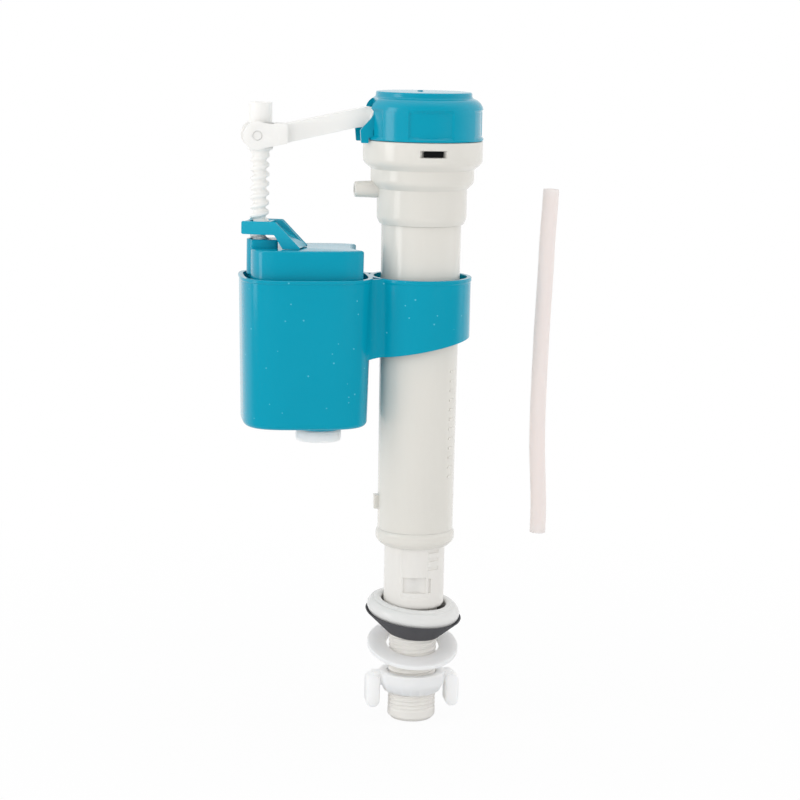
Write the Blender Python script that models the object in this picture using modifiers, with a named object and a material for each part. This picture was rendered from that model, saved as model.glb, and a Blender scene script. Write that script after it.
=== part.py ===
"""Toilet fill valve: a telescoping inlet column with a float, a float cup and a pilot lever.

Metres, +Z up. The origin is on the shank's axis, in the plane of the tank's hole, where
the cone gasket seals. The float cup is at -X of the column, and its open front faces -Y.
"""
import math

import bmesh
import bpy
from mathutils import Matrix

MM = 0.001

# Clearances
GAP = 0.3 * MM
SLIDE_GAP = 0.4 * MM
OVERLAP = 0.6 * MM
SEAM = 0.1 * MM

# Facets of round pieces
FACETS_LARGE = 32
FACETS_SMALL = 20
FACETS_FINE = 12

# Inlet shank and inner riser
SHANK_RADIUS = 10.4775 * MM
SHANK_LENGTH = 42.0 * MM
SHANK_CHAMFER = 1.0 * MM
SHANK_BORE = 7.25 * MM
RISER_PLAY = 1.9 * MM
RISER_WALL = 2.0 * MM
RISER_FOOT = 10.0 * MM
RISER_CHAMFER = 1.4 * MM
RISER_TOP = 128.0 * MM
RISER_FLOOR = 4.0 * MM
BEARING_HEIGHT = 6.0 * MM
RING_SEAT = 1.3 * MM
POCKET_WIDTH = 10.0 * MM
POCKET_HEIGHT = 7.0 * MM
POCKET_DEPTH = 1.1 * MM
POCKET_RISE = 6.0 * MM
POCKET_TURN = math.radians(-7.0)
RACK_WIDTH = 6.0 * MM
RACK_DEPTH = 0.8 * MM
RACK_GROOVE = 1.7 * MM
RACK_PITCH = 3.8 * MM
RACK_RISE = 17.0 * MM
RACK_COUNT = 16
RACK_TURN = math.radians(31.0)

# Inlet fittings inside the shank
FILTER_DEPTH = 2.0 * MM
FILTER_LENGTH = 14.0 * MM
FILTER_WALL = 1.2 * MM
RESTRICTOR_THICKNESS = 4.0 * MM
RESTRICTOR_HOLE = 1.6 * MM

# Tank fastening
NUT_RADIUS = 14.5 * MM
NUT_FOOT_RADIUS = 12.4 * MM
NUT_HEIGHT = 10.0 * MM
NUT_BOTTOM = -32.0 * MM
LUG_CENTRE = 17.6 * MM
LUG_WIDTH = 6.0 * MM
LUG_DEPTH = 9.0 * MM
LUG_HEIGHT = 16.0 * MM
LUG_BOTTOM = -38.0 * MM
WASHER_RADIUS = 20.0 * MM
WASHER_THICKNESS = 1.8 * MM
WASHER_CLEARANCE = 1.2 * MM
WASHER_CENTRE = -9.0 * MM
WASHER_LEAN = (-0.02, 0.287)
GASKET_BOTTOM = -5.0 * MM
GASKET_HEIGHT = 11.6 * MM
GASKET_RADIUS = 21.15 * MM
GASKET_LIP = 11.9 * MM
GASKET_WALL = 1.6 * MM
GASKET_GRIP = 2.5 * MM
GASKET_LEAN = (-0.085, 0.10)
RING_WIDTH = 6.3 * MM
RING_PLAY = 0.9 * MM
RING_HEIGHT = 6.0 * MM

# Outer tube and its lock collar
COLLAR_PROUD = 0.75 * MM
COLLAR_HEIGHT = 7.0 * MM
COLLAR_BOTTOM = 37.0 * MM
COLLAR_ROUND = 2.2 * MM
COLLAR_SPIGOT = 4.0 * MM
TUBE_FOOT_RADIUS = 16.5 * MM
TUBE_FLARE = 0.7 * MM
TUBE_WALL = 1.4 * MM
TUBE_LENGTH = 138.7 * MM
TUBE_LUG_RISE = 8.5 * MM
TUBE_LUG_HEIGHT = 6.0 * MM
TUBE_LUG_PROUD = 2.0 * MM

# Valve head
HEAD_SKIRT = 5.5 * MM
HEAD_WALL = 1.75 * MM
HEAD_LOW_HEIGHT = 15.5 * MM
HEAD_MID_RADIUS = 22.25 * MM
HEAD_MID_HEIGHT = 8.2 * MM
HEAD_RIM_RADIUS = 25.7 * MM
HEAD_RIM_HEIGHT = 10.5 * MM
NECK_RADIUS = 23.3 * MM
NECK_HEIGHT = 3.8 * MM
NECK_BORE = 21.5 * MM
CHAMBER_DEPTH = 7.5 * MM
CHAMBER_RADIUS = 19.5 * MM
WEB_THICKNESS = 3.0 * MM
WEB_DROP = 10.0 * MM
WEB_HOLE = 3.1 * MM
WEB_HOLE_CIRCLE = 12.0 * MM
WEB_HOLES = 4
NOZZLE_RISE = 14.5 * MM
NOZZLE_ROOT = 3.9 * MM
NOZZLE_TIP = 3.4 * MM
NOZZLE_BORE = 2.0 * MM
NOZZLE_REACH = 29.3 * MM
WINDOW_WIDTH = 8.8 * MM
WINDOW_HEIGHT = 3.0 * MM
WINDOW_DEPTH = 2.6 * MM
WINDOW_OFFSET = 1.0 * MM
WINDOW_DROP = 3.2 * MM
FLAP_THICKNESS = 1.2 * MM

# Telescoping water tube
SUPPLY_RADIUS = 6.5 * MM
SUPPLY_BORE = 5.0 * MM
SUPPLY_FLANGE = 8.6 * MM
SUPPLY_FLANGE_HEIGHT = 1.7 * MM
PISTON_HEIGHT = 10.0 * MM
PISTON_RISE = 34.0 * MM
PISTON_GROOVE = 2.6 * MM
PISTON_GROOVE_DEPTH = 1.5 * MM
O_RING_SECTION = 0.75 * MM

# Main valve
DIAPHRAGM_THICKNESS = 1.5 * MM
SEAT_DISC_LIFT = 1.5 * MM
PLATE_THICKNESS = 3.0 * MM
PLATE_RIM_WALL = 1.5 * MM
PLATE_DOME = 8.0 * MM
PLATE_DOME_HEIGHT = 2.0 * MM
PILOT_BOSS = 2.4 * MM
PILOT_BOSS_HEIGHT = 2.0 * MM
PILOT_HOLE = 0.7 * MM
CAP_SEAL_HEIGHT = 1.2 * MM
LEVER_SWING = math.radians(12.0)

# Cap
CAP_RADIUS = 25.75 * MM
CAP_HEIGHT = 21.7 * MM
CAP_DISC_RADIUS = 20.5 * MM
CAP_DISC_HEIGHT = 3.8 * MM
CAP_SHOULDER = 3.4 * MM
CAP_TOP_WALL = 2.0 * MM
CAP_CAVITY = 20.6 * MM
SLOT_HALF_WIDTH = 9.2 * MM
SLOT_SILL = 2.6 * MM
CHEEK_INNER = 8.2 * MM
CHEEK_OUTER = 10.0 * MM

# Lever and swivel
PIVOT_X = -19.5 * MM
PIVOT_RISE = 10.5 * MM
PIN_RADIUS = 1.5 * MM
HUB_RADIUS = 4.0 * MM
LEVER_WIDTH = 8.0 * MM
EYE_X = -71.5 * MM
EYE_DROP = 7.9 * MM
EYE_RADIUS = 6.0 * MM
CHEEK_THICKNESS = 2.2 * MM
FORK_LENGTH = 12.5 * MM
LEVER_RISE = 0.23
TRUNNION_RADIUS = 1.7 * MM
SEAL_RADIUS = 2.3 * MM
SEAL_REACH = 8.0 * MM
BLOCK_RADIUS = 5.0 * MM
BLOCK_HEIGHT = 9.4 * MM
BLOCK_OFFSET = 1.8 * MM
ROD_NECK = 2.7 * MM

# Adjuster rod
ROD_MAJOR = 4.05 * MM
ROD_MINOR = 2.7 * MM
ROD_PITCH = 4.0 * MM
ROD_TURNS = 11
ROD_FLANGE = 5.5 * MM
ROD_FLANGE_HEIGHT = 1.8 * MM
KNOB_RADIUS = 5.0 * MM
KNOB_HEIGHT = 8.8 * MM
KNOB_RECESS = 2.6 * MM
KNOB_RECESS_DEPTH = 4.0 * MM

# Float and its clip
FLOAT_GRIP = 3.2 * MM
FLOAT_HEIGHT = 59.0 * MM
FLOAT_LEFT = -73.8 * MM
FLOAT_RIGHT = -23.9 * MM
FLOAT_HALF_DEPTH = 18.4 * MM
FLOAT_WALL = 1.4 * MM
FLOAT_TAPER = 0.975
FLOAT_SCOOP = 30.0 * MM
FLOAT_SQUARENESS = 4.2
WELL_WALL = 1.0 * MM
WELL_DEPTH = 14.0 * MM
WELL_FLOOR = 1.0 * MM
BOSS_LEFT = 4.0 * MM
BOSS_RIGHT = 7.6 * MM
BOSS_HALF_DEPTH = 5.8 * MM
BOSS_HEIGHT = 3.6 * MM
CLIP_BAND = 5.0 * MM
CLIP_BAND_RISE = 6.2 * MM
CLIP_DEPTH = 14.0 * MM
CLIP_WALL = 2.0 * MM
CLIP_LEFT = 5.8 * MM
CLIP_SHOULDER = 8.6 * MM
CLIP_FOOT = 17.0 * MM
CLIP_TURN = math.radians(-18.0)

# Float cup
CUP_HEIGHT = 64.0 * MM
CUP_BELOW_FLOAT = 12.0 * MM
CUP_LEFT = -77.9 * MM
CUP_RIGHT = -21.6 * MM
CUP_HALF_DEPTH = 22.0 * MM
CUP_WALL = 1.7 * MM
CUP_TAPER = 0.955
CUP_SQUARENESS = 5.0
CUP_EDGE = 1.6 * MM
HOOP_PROUD = 4.65 * MM
HOOP_HEIGHT_LEFT = 37.5 * MM
HOOP_HEIGHT_RIGHT = 26.0 * MM
WEB_INSET = (5.0 * MM, 3.2 * MM)
WEB_ANGLE = math.radians(51.75)
WEB_BOW = 1.8 * MM
GUIDE_WIDTH = 2.0 * MM
SPIGOT_X = -43.2 * MM
SPIGOT_RADIUS = 10.9 * MM
SPIGOT_HEIGHT = 2.4 * MM
PLUG_STEM = 8.2 * MM
PLUG_FLANGE = 9.85 * MM
PLUG_FLANGE_HEIGHT = 5.0 * MM
PLUG_BORE = 5.0 * MM
CUP_FLAP_RADIUS = 6.4 * MM
CUP_FLAP_THICKNESS = 1.2 * MM

# Loose refill tube: its outer radius and the points that it follows (x, z in mm)
REFILL_RADIUS = 3.45 * MM
REFILL_ROUTE = (
    (56.5, 192.7), (56.2, 186.0), (55.8, 178.8), (55.4, 171.0), (55.1, 157.8), (54.6, 144.6),
    (54.1, 131.4), (53.8, 118.1), (53.5, 104.7), (53.4, 91.3), (53.6, 77.8), (54.4, 64.3),
    (54.9, 55.2), (55.0, 48.0), (54.8, 41.1),
)

# Radii that follow from the outer tube's foot
TUBE_BORE = TUBE_FOOT_RADIUS - TUBE_WALL
TUBE_TOP_RADIUS = TUBE_FOOT_RADIUS + TUBE_FLARE
RISER_RADIUS = TUBE_BORE - RISER_PLAY
RISER_BORE = RISER_RADIUS - RISER_WALL
PISTON_RADIUS = RISER_BORE - SLIDE_GAP
PISTON_GROOVE_RADIUS = PISTON_RADIUS - PISTON_GROOVE_DEPTH
COLLAR_RADIUS = TUBE_FOOT_RADIUS + COLLAR_PROUD
RING_HOLE = RISER_RADIUS + RING_PLAY
RING_RADIUS = RING_HOLE + RING_WIDTH
HOOP_RADIUS = TUBE_TOP_RADIUS + HOOP_PROUD

# Stations that follow from the sizes above, from the bottom of the column upwards
SHANK_BOTTOM = -SHANK_LENGTH
FILTER_BOTTOM = SHANK_BOTTOM + FILTER_DEPTH
RESTRICTOR_BOTTOM = FILTER_BOTTOM + FILTER_LENGTH + GAP
NUT_TOP = NUT_BOTTOM + NUT_HEIGHT
GASKET_TOP = GASKET_BOTTOM + GASKET_HEIGHT
RING_BOTTOM = GASKET_TOP - RING_SEAT
BORE_STEP = RISER_FOOT + RISER_FLOOR
COLLAR_TOP = COLLAR_BOTTOM + COLLAR_HEIGHT
SUPPLY_BOTTOM = BORE_STEP + PISTON_RISE
TUBE_BOTTOM = COLLAR_TOP + GAP
TUBE_TOP = TUBE_BOTTOM + TUBE_LENGTH
HEAD_BOTTOM = TUBE_TOP - HEAD_SKIRT
HEAD_LOW_TOP = HEAD_BOTTOM + HEAD_LOW_HEIGHT
HEAD_MID_TOP = HEAD_LOW_TOP + HEAD_MID_HEIGHT
RIM_TOP = HEAD_MID_TOP + HEAD_RIM_HEIGHT
NECK_TOP = RIM_TOP + NECK_HEIGHT
LEDGE = NECK_TOP - CHAMBER_DEPTH
WEB_TOP = LEDGE - WEB_DROP
WEB_BOTTOM = WEB_TOP - WEB_THICKNESS
HEAD_BORE = TUBE_TOP_RADIUS + SLIDE_GAP
HEAD_LOW_RADIUS = HEAD_BORE + HEAD_WALL
NOZZLE_Z = HEAD_BOTTOM + NOZZLE_RISE
DIAPHRAGM_BOTTOM = LEDGE + GAP
DIAPHRAGM_TOP = DIAPHRAGM_BOTTOM + DIAPHRAGM_THICKNESS
PLATE_RADIUS = NECK_BORE - GAP
PLATE_BOTTOM = DIAPHRAGM_TOP + GAP
PLATE_TOP = PLATE_BOTTOM + PLATE_THICKNESS
SEAL_RING_BOTTOM = NECK_TOP + GAP
SEAL_RING_TOP = SEAL_RING_BOTTOM + CAP_SEAL_HEIGHT
CAP_STEP = SEAL_RING_TOP + GAP
CAP_BOTTOM = RIM_TOP + GAP
CAP_TOP = CAP_BOTTOM + CAP_HEIGHT
CAP_DISC_BASE = CAP_TOP - CAP_DISC_HEIGHT
CAP_CEILING = CAP_DISC_BASE - CAP_TOP_WALL - SLIDE_GAP
CAP_BORE = NECK_RADIUS + GAP
PIVOT_Z = CAP_BOTTOM + PIVOT_RISE
PILOT_X = PIVOT_X + SEAL_REACH
PILOT_TOP = PLATE_TOP + PILOT_BOSS_HEIGHT
SEAL_BOTTOM = PILOT_TOP + (SEAL_REACH + SEAL_RADIUS) * math.sin(LEVER_SWING) + GAP
EYE_Z = PIVOT_Z - EYE_DROP
ROD_X = EYE_X + BLOCK_OFFSET
BLOCK_BOTTOM = EYE_Z - BLOCK_HEIGHT / 2
BLOCK_TOP = EYE_Z + BLOCK_HEIGHT / 2
FORK_INNER = ROD_FLANGE + GAP
FORK_OUTER = FORK_INNER + CHEEK_THICKNESS
FLANGE_TOP = BLOCK_BOTTOM - GAP
THREAD_TOP = FLANGE_TOP - ROD_FLANGE_HEIGHT
THREAD_BOTTOM = THREAD_TOP - ROD_TURNS * ROD_PITCH
KNOB_BOTTOM = BLOCK_TOP + GAP
KNOB_TOP = KNOB_BOTTOM + KNOB_HEIGHT
NECK_END = KNOB_TOP - KNOB_RECESS_DEPTH
FLOAT_TOP = THREAD_BOTTOM + FLOAT_GRIP
FLOAT_BOTTOM = FLOAT_TOP - FLOAT_HEIGHT
ROD_HOLE = ROD_MAJOR + GAP
WELL_TOP = FLOAT_TOP + BOSS_HEIGHT
WELL_BOTTOM = WELL_TOP - WELL_DEPTH - WELL_FLOOR
CUP_TOP = FLOAT_TOP - CUP_BELOW_FLOAT
CUP_BOTTOM = CUP_TOP - CUP_HEIGHT
CUP_FLOOR = CUP_BOTTOM + CUP_WALL
HOOP_LOW_LEFT = CUP_TOP - HOOP_HEIGHT_LEFT
HOOP_LOW_RIGHT = CUP_TOP - HOOP_HEIGHT_RIGHT
SPIGOT_BOTTOM = CUP_BOTTOM - SPIGOT_HEIGHT

parts = None
cutters = None
teal = (0.010, 0.305, 0.460)
white = (0.800, 0.790, 0.760)
clear_white = (0.840, 0.830, 0.800)
black = (0.020, 0.020, 0.022)


def clear_scene():
    """Remove every object, mesh and material of the open file."""
    for item in list(bpy.data.objects):
        bpy.data.objects.remove(item, do_unlink=True)
    for mesh in list(bpy.data.meshes):
        bpy.data.meshes.remove(mesh)
    for material in list(bpy.data.materials):
        bpy.data.materials.remove(material)


def make_collection(name):
    """Make a collection under the scene and return it."""
    collection = bpy.data.collections.new(name)
    bpy.context.scene.collection.children.link(collection)
    return collection


def finish(item, colour, roughness=0.4, metallic=0.0):
    """Give an object its own Principled material and smooth shading."""
    material = bpy.data.materials.new(item.name)
    material.use_nodes = True
    shader = material.node_tree.nodes["Principled BSDF"]
    shader.inputs["Base Color"].default_value = (*colour, 1.0)
    shader.inputs["Roughness"].default_value = roughness
    shader.inputs["Metallic"].default_value = metallic
    item.data.materials.clear()
    item.data.materials.append(material)
    return item


def add_object(name, mesh, collection):
    """Link a new object for a mesh into a collection."""
    item = bpy.data.objects.new(name, mesh)
    collection.objects.link(item)
    return item


def from_bmesh(name, shape, collection=None):
    """Turn a bmesh into an object, with its faces pointing out."""
    bmesh.ops.recalc_face_normals(shape, faces=shape.faces)
    mesh = bpy.data.meshes.new(name)
    shape.to_mesh(mesh)
    shape.free()
    mesh.shade_smooth()
    mesh.set_sharp_from_angle(angle=math.radians(35))
    return add_object(name, mesh, collection or parts)


def as_cutter(item):
    """Mark an object as a tool: it is used by a Boolean and isn't a part."""
    for collection in list(item.users_collection):
        collection.objects.unlink(item)
    cutters.objects.link(item)
    item.hide_render = True
    item.display_type = "WIRE"
    return item


def turned(name, profile, segments=FACETS_LARGE, closed=True):
    """Turn a profile of (radius, height) points about Z.

    The outer side runs from top to bottom. A closed profile is a ring's section, and an
    open one starts and ends on the axis.
    """
    mesh = bpy.data.meshes.new(name)
    points = [(radius, 0.0, height) for radius, height in profile]
    edges = [(i, i + 1) for i in range(len(points) - 1)]
    if closed:
        edges.append((len(points) - 1, 0))
    mesh.from_pydata(points, edges, [])
    item = add_object(name, mesh, parts)
    screw = item.modifiers.new("Turn", "SCREW")
    screw.axis = "Z"
    screw.angle = 2.0 * math.pi
    screw.steps = segments
    screw.render_steps = segments
    screw.use_merge_vertices = True
    screw.merge_threshold = 0.00001
    screw.use_smooth_shade = True
    return item


def boolean(target, other, operation):
    """Cut or join another object into the target with an exact Boolean."""
    modifier = target.modifiers.new(other.name, "BOOLEAN")
    modifier.operation = operation
    modifier.solver = "EXACT"
    modifier.object = as_cutter(other)
    return target


def cut(target, *others):
    """Take each of the other shapes away from the target."""
    for other in others:
        boolean(target, other, "DIFFERENCE")
    return target


def join(target, *others):
    """Add each of the other shapes to the target."""
    for other in others:
        boolean(target, other, "UNION")
    return target


def block(name, low, high, turn=0.0, bevel=0.0):
    """Make a box between two corners, turned about Z through the origin."""
    size = [high[i] - low[i] for i in range(3)]
    middle = [(high[i] + low[i]) / 2 for i in range(3)]
    shape = bmesh.new()
    place = Matrix.Rotation(turn, 4, "Z") @ Matrix.Translation(middle) @ Matrix.Diagonal((*size, 1.0))
    bmesh.ops.create_cube(shape, size=1.0, matrix=place)
    item = from_bmesh(name, shape)
    if bevel:
        edge = item.modifiers.new("Edges", "BEVEL")
        edge.width = bevel
        edge.segments = 2
    return item


def cylinder(name, radius, start, end, segments=FACETS_SMALL, end_radius=None):
    """Make a cylinder or a cone between two points."""
    axis = [end[i] - start[i] for i in range(3)]
    length = math.sqrt(sum(value * value for value in axis))
    middle = [(end[i] + start[i]) / 2 for i in range(3)]
    tilt = math.atan2(math.hypot(axis[0], axis[1]), axis[2])
    heading = math.atan2(axis[1], axis[0])
    turn = Matrix.Rotation(heading, 4, "Z") @ Matrix.Rotation(tilt, 4, "Y")
    shape = bmesh.new()
    bmesh.ops.create_cone(
        shape, cap_ends=True, segments=segments, radius1=radius,
        radius2=radius if end_radius is None else end_radius,
        depth=length, matrix=Matrix.Translation(middle) @ turn,
    )
    return from_bmesh(name, shape)


def plate(name, outline, thickness, place=None):
    """Extrude a flat outline of (x, y) points to both sides of its plane, as a mesh."""
    curve = bpy.data.curves.new(name, "CURVE")
    curve.dimensions = "2D"
    curve.fill_mode = "BOTH"
    curve.extrude = thickness / 2
    spline = curve.splines.new("POLY")
    spline.points.add(len(outline) - 1)
    for point, (x, y) in zip(spline.points, outline):
        point.co = (x, y, 0.0, 1.0)
    spline.use_cyclic_u = True
    guide = bpy.data.objects.new(name + "_outline", curve)
    parts.objects.link(guide)
    bpy.context.view_layer.update()
    graph = bpy.context.evaluated_depsgraph_get()
    mesh = bpy.data.meshes.new_from_object(guide.evaluated_get(graph))
    bpy.data.objects.remove(guide, do_unlink=True)
    shape = bmesh.new()
    shape.from_mesh(mesh)
    bmesh.ops.remove_doubles(shape, verts=shape.verts, dist=0.000001)
    bmesh.ops.transform(shape, matrix=place or Matrix.Identity(4), verts=shape.verts)
    return from_bmesh(name, shape)


def side_plate(name, outline, thickness, y=0.0):
    """Extrude an outline of (x, z) points along Y, about the given Y."""
    place = Matrix.Translation((0.0, y, 0.0)) @ Matrix.Rotation(math.pi / 2, 4, "X")
    return plate(name, outline, thickness, place)


def lean(item, slopes):
    """Tip a turned piece by sliding its points along Z only, so its bore stays on the shank."""
    guide = item.evaluated_get(bpy.context.evaluated_depsgraph_get())
    mesh = bpy.data.meshes.new_from_object(guide)
    shear = Matrix.Identity(4)
    shear[2][0], shear[2][1] = slopes
    mesh.transform(shear)
    item.modifiers.clear()
    item.data = mesh
    return item


def arc(centre, radius, start, end, count):
    """Points of an arc, from one angle to another in degrees."""
    points = []
    for index in range(count + 1):
        angle = math.radians(start + (end - start) * index / count)
        points.append((centre[0] + radius * math.cos(angle), centre[1] + radius * math.sin(angle)))
    return points


def loft(name, sections, close_top=True):
    """Skin rings of equal point counts from bottom to top, closed by flat ends."""
    shape = bmesh.new()
    rings = [[shape.verts.new(point) for point in section] for section in sections]
    count = len(rings[0])
    for low, high in zip(rings, rings[1:]):
        for index in range(count):
            following = (index + 1) % count
            shape.faces.new((low[index], low[following], high[following], high[index]))
    shape.faces.new(list(reversed(rings[0])))
    if close_top:
        shape.faces.new(rings[-1])
    return from_bmesh(name, shape)


def build_riser_shank():
    """The threaded shank with the riser above it, its rack of grooves and its pocket."""
    bearing = TUBE_BORE - GAP
    body = turned("riser_shank", [
        (bearing, RISER_TOP), (bearing, RISER_TOP - BEARING_HEIGHT),
        (RISER_RADIUS, RISER_TOP - BEARING_HEIGHT - RISER_CHAMFER),
        (RISER_RADIUS, RISER_FOOT + RISER_CHAMFER), (RISER_RADIUS - RISER_CHAMFER, RISER_FOOT),
        (SHANK_RADIUS, RISER_FOOT - RISER_CHAMFER), (SHANK_RADIUS, SHANK_BOTTOM + SHANK_CHAMFER),
        (SHANK_RADIUS - SHANK_CHAMFER, SHANK_BOTTOM), (SHANK_BORE, SHANK_BOTTOM),
        (SHANK_BORE, BORE_STEP), (RISER_BORE, BORE_STEP), (RISER_BORE, RISER_TOP),
    ])
    low = RISER_FOOT + POCKET_RISE
    cut(body, block(
        "pocket_cut", (-POCKET_WIDTH / 2, -RISER_RADIUS - OVERLAP, low),
        (POCKET_WIDTH / 2, -RISER_RADIUS + POCKET_DEPTH, low + POCKET_HEIGHT), POCKET_TURN,
    ))
    low = RISER_FOOT + RACK_RISE
    grooves = block(
        "rack_cut", (-RACK_WIDTH / 2, -RISER_RADIUS - OVERLAP, low),
        (RACK_WIDTH / 2, -RISER_RADIUS + RACK_DEPTH, low + RACK_GROOVE), RACK_TURN,
    )
    repeat = grooves.modifiers.new("Rack", "ARRAY")
    repeat.count = RACK_COUNT
    repeat.use_relative_offset = False
    repeat.use_constant_offset = True
    repeat.constant_offset_displace = (0.0, 0.0, RACK_PITCH)
    cut(body, grooves)
    finish(body, white)


def build_inlet():
    """The cup filter and the flow restrictor in the shank's bore."""
    radius = SHANK_BORE - GAP
    top = FILTER_BOTTOM + FILTER_LENGTH
    mesh_cup = turned("inlet_filter", [
        (0.0, top), (radius, top), (radius, FILTER_BOTTOM), (radius - FILTER_WALL, FILTER_BOTTOM),
        (radius - FILTER_WALL, top - FILTER_WALL), (0.0, top - FILTER_WALL),
    ], FACETS_SMALL, closed=False)
    finish(mesh_cup, clear_white)
    high = RESTRICTOR_BOTTOM + RESTRICTOR_THICKNESS
    disc = turned("flow_restrictor", [
        (radius, high), (radius, RESTRICTOR_BOTTOM), (RESTRICTOR_HOLE, RESTRICTOR_BOTTOM),
        (RESTRICTOR_HOLE, high),
    ], FACETS_SMALL)
    finish(disc, black)


def build_fastening():
    """The wing nut, the clamp washer, the cone gasket and the ring that presses it."""
    bore = SHANK_RADIUS + SLIDE_GAP
    nut = turned("wing_nut", [
        (NUT_RADIUS, NUT_TOP), (NUT_RADIUS, NUT_TOP - NUT_HEIGHT / 2), (NUT_FOOT_RADIUS, NUT_BOTTOM),
        (bore, NUT_BOTTOM), (bore, NUT_TOP),
    ])
    half = LUG_WIDTH / 2
    for side in (-1, 1):
        centre = side * LUG_CENTRE
        low_end = arc((centre, LUG_BOTTOM + half), half, 180, 360, 8)
        high_end = arc((centre, LUG_BOTTOM + LUG_HEIGHT - half), half, 0, 180, 8)
        join(nut, side_plate(f"lug_{side}", low_end + high_end, LUG_DEPTH))
        ends = sorted((side * NUT_FOOT_RADIUS, centre))
        join(nut, block(
            f"lug_web_{side}", (ends[0], -half, NUT_TOP - LUG_WIDTH), (ends[1], half, NUT_TOP - GAP),
        ))
    finish(nut, clear_white)

    hole = SHANK_RADIUS + WASHER_CLEARANCE
    half = WASHER_THICKNESS / 2
    washer = turned("clamp_washer", [
        (WASHER_RADIUS, WASHER_CENTRE + half), (WASHER_RADIUS, WASHER_CENTRE - half),
        (hole, WASHER_CENTRE - half), (hole, WASHER_CENTRE + half),
    ])
    finish(lean(washer, WASHER_LEAN), clear_white)

    grip = SHANK_RADIUS + SLIDE_GAP
    bowl = GASKET_BOTTOM + GASKET_GRIP
    gasket = turned("cone_gasket", [
        (GASKET_RADIUS, GASKET_TOP), (GASKET_RADIUS - GAP, GASKET_TOP - OVERLAP),
        (GASKET_LIP, GASKET_BOTTOM), (grip, GASKET_BOTTOM), (grip, bowl),
        (GASKET_LIP + GASKET_WALL, bowl + GASKET_WALL), (GASKET_RADIUS - OVERLAP, GASKET_TOP),
    ])
    finish(lean(gasket, GASKET_LEAN), black, 0.6)

    middle = ((RING_HOLE + RING_RADIUS) / 2, RING_BOTTOM + RING_HEIGHT / 2)
    wide = (RING_RADIUS - RING_HOLE) / 2
    section = []
    for index in range(8):
        angle = -2.0 * math.pi * (index + 0.5) / 8
        section.append((middle[0] + wide * math.cos(angle), middle[1] + RING_HEIGHT / 2 * math.sin(angle)))
    finish(lean(turned("gasket_ring", section), GASKET_LEAN), white)


def build_outer_tube():
    """The tall outer tube with its lug, and the collar that locks it to the riser."""
    tube = turned("outer_tube", [
        (TUBE_TOP_RADIUS, TUBE_TOP), (TUBE_FOOT_RADIUS, TUBE_BOTTOM), (TUBE_BORE, TUBE_BOTTOM),
        (TUBE_BORE, TUBE_TOP),
    ])
    low = TUBE_BOTTOM + TUBE_LUG_RISE
    join(tube, block(
        "tube_lug", (-TUBE_FOOT_RADIUS - TUBE_LUG_PROUD, -TUBE_LUG_PROUD, low),
        (-TUBE_FOOT_RADIUS + OVERLAP, TUBE_LUG_PROUD, low + TUBE_LUG_HEIGHT),
    ))
    finish(tube, white)

    bore = RISER_RADIUS + GAP
    spigot = TUBE_BORE - SLIDE_GAP
    collar = turned("lock_collar", [
        (spigot, COLLAR_TOP + COLLAR_SPIGOT), (spigot, COLLAR_TOP), (COLLAR_RADIUS, COLLAR_TOP),
        (COLLAR_RADIUS, COLLAR_BOTTOM + COLLAR_ROUND),
        (COLLAR_RADIUS - COLLAR_ROUND * 0.3, COLLAR_BOTTOM + COLLAR_ROUND * 0.3),
        (COLLAR_RADIUS - COLLAR_ROUND, COLLAR_BOTTOM), (bore, COLLAR_BOTTOM),
        (bore, COLLAR_TOP + COLLAR_SPIGOT),
    ])
    finish(collar, white)


def build_supply():
    """The inner water tube, which slides in the riser on its piston and O-ring."""
    seat = WEB_TOP + GAP
    flange = seat + SUPPLY_FLANGE_HEIGHT
    groove = SUPPLY_BOTTOM + PISTON_HEIGHT / 2 - PISTON_GROOVE / 2
    piston = SUPPLY_BOTTOM + PISTON_HEIGHT
    slope = PISTON_RADIUS - SUPPLY_RADIUS
    tube = turned("supply_tube", [
        (SUPPLY_RADIUS, LEDGE), (SUPPLY_RADIUS, flange), (SUPPLY_FLANGE, flange), (SUPPLY_FLANGE, seat),
        (SUPPLY_RADIUS, seat), (SUPPLY_RADIUS, piston + slope), (PISTON_RADIUS, piston),
        (PISTON_RADIUS, groove + PISTON_GROOVE), (PISTON_GROOVE_RADIUS, groove + PISTON_GROOVE),
        (PISTON_GROOVE_RADIUS, groove), (PISTON_RADIUS, groove), (PISTON_RADIUS, SUPPLY_BOTTOM),
        (SUPPLY_BORE, SUPPLY_BOTTOM), (SUPPLY_BORE, LEDGE),
    ], FACETS_SMALL)
    finish(tube, white)
    centre = (PISTON_GROOVE_RADIUS + RISER_BORE) / 2
    section = []
    for index in range(8):
        angle = -2.0 * math.pi * index / 8
        section.append((
            centre + O_RING_SECTION * math.cos(angle),
            groove + PISTON_GROOVE / 2 + O_RING_SECTION * math.sin(angle),
        ))
    finish(turned("supply_o_ring", section, FACETS_SMALL), black)


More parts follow.
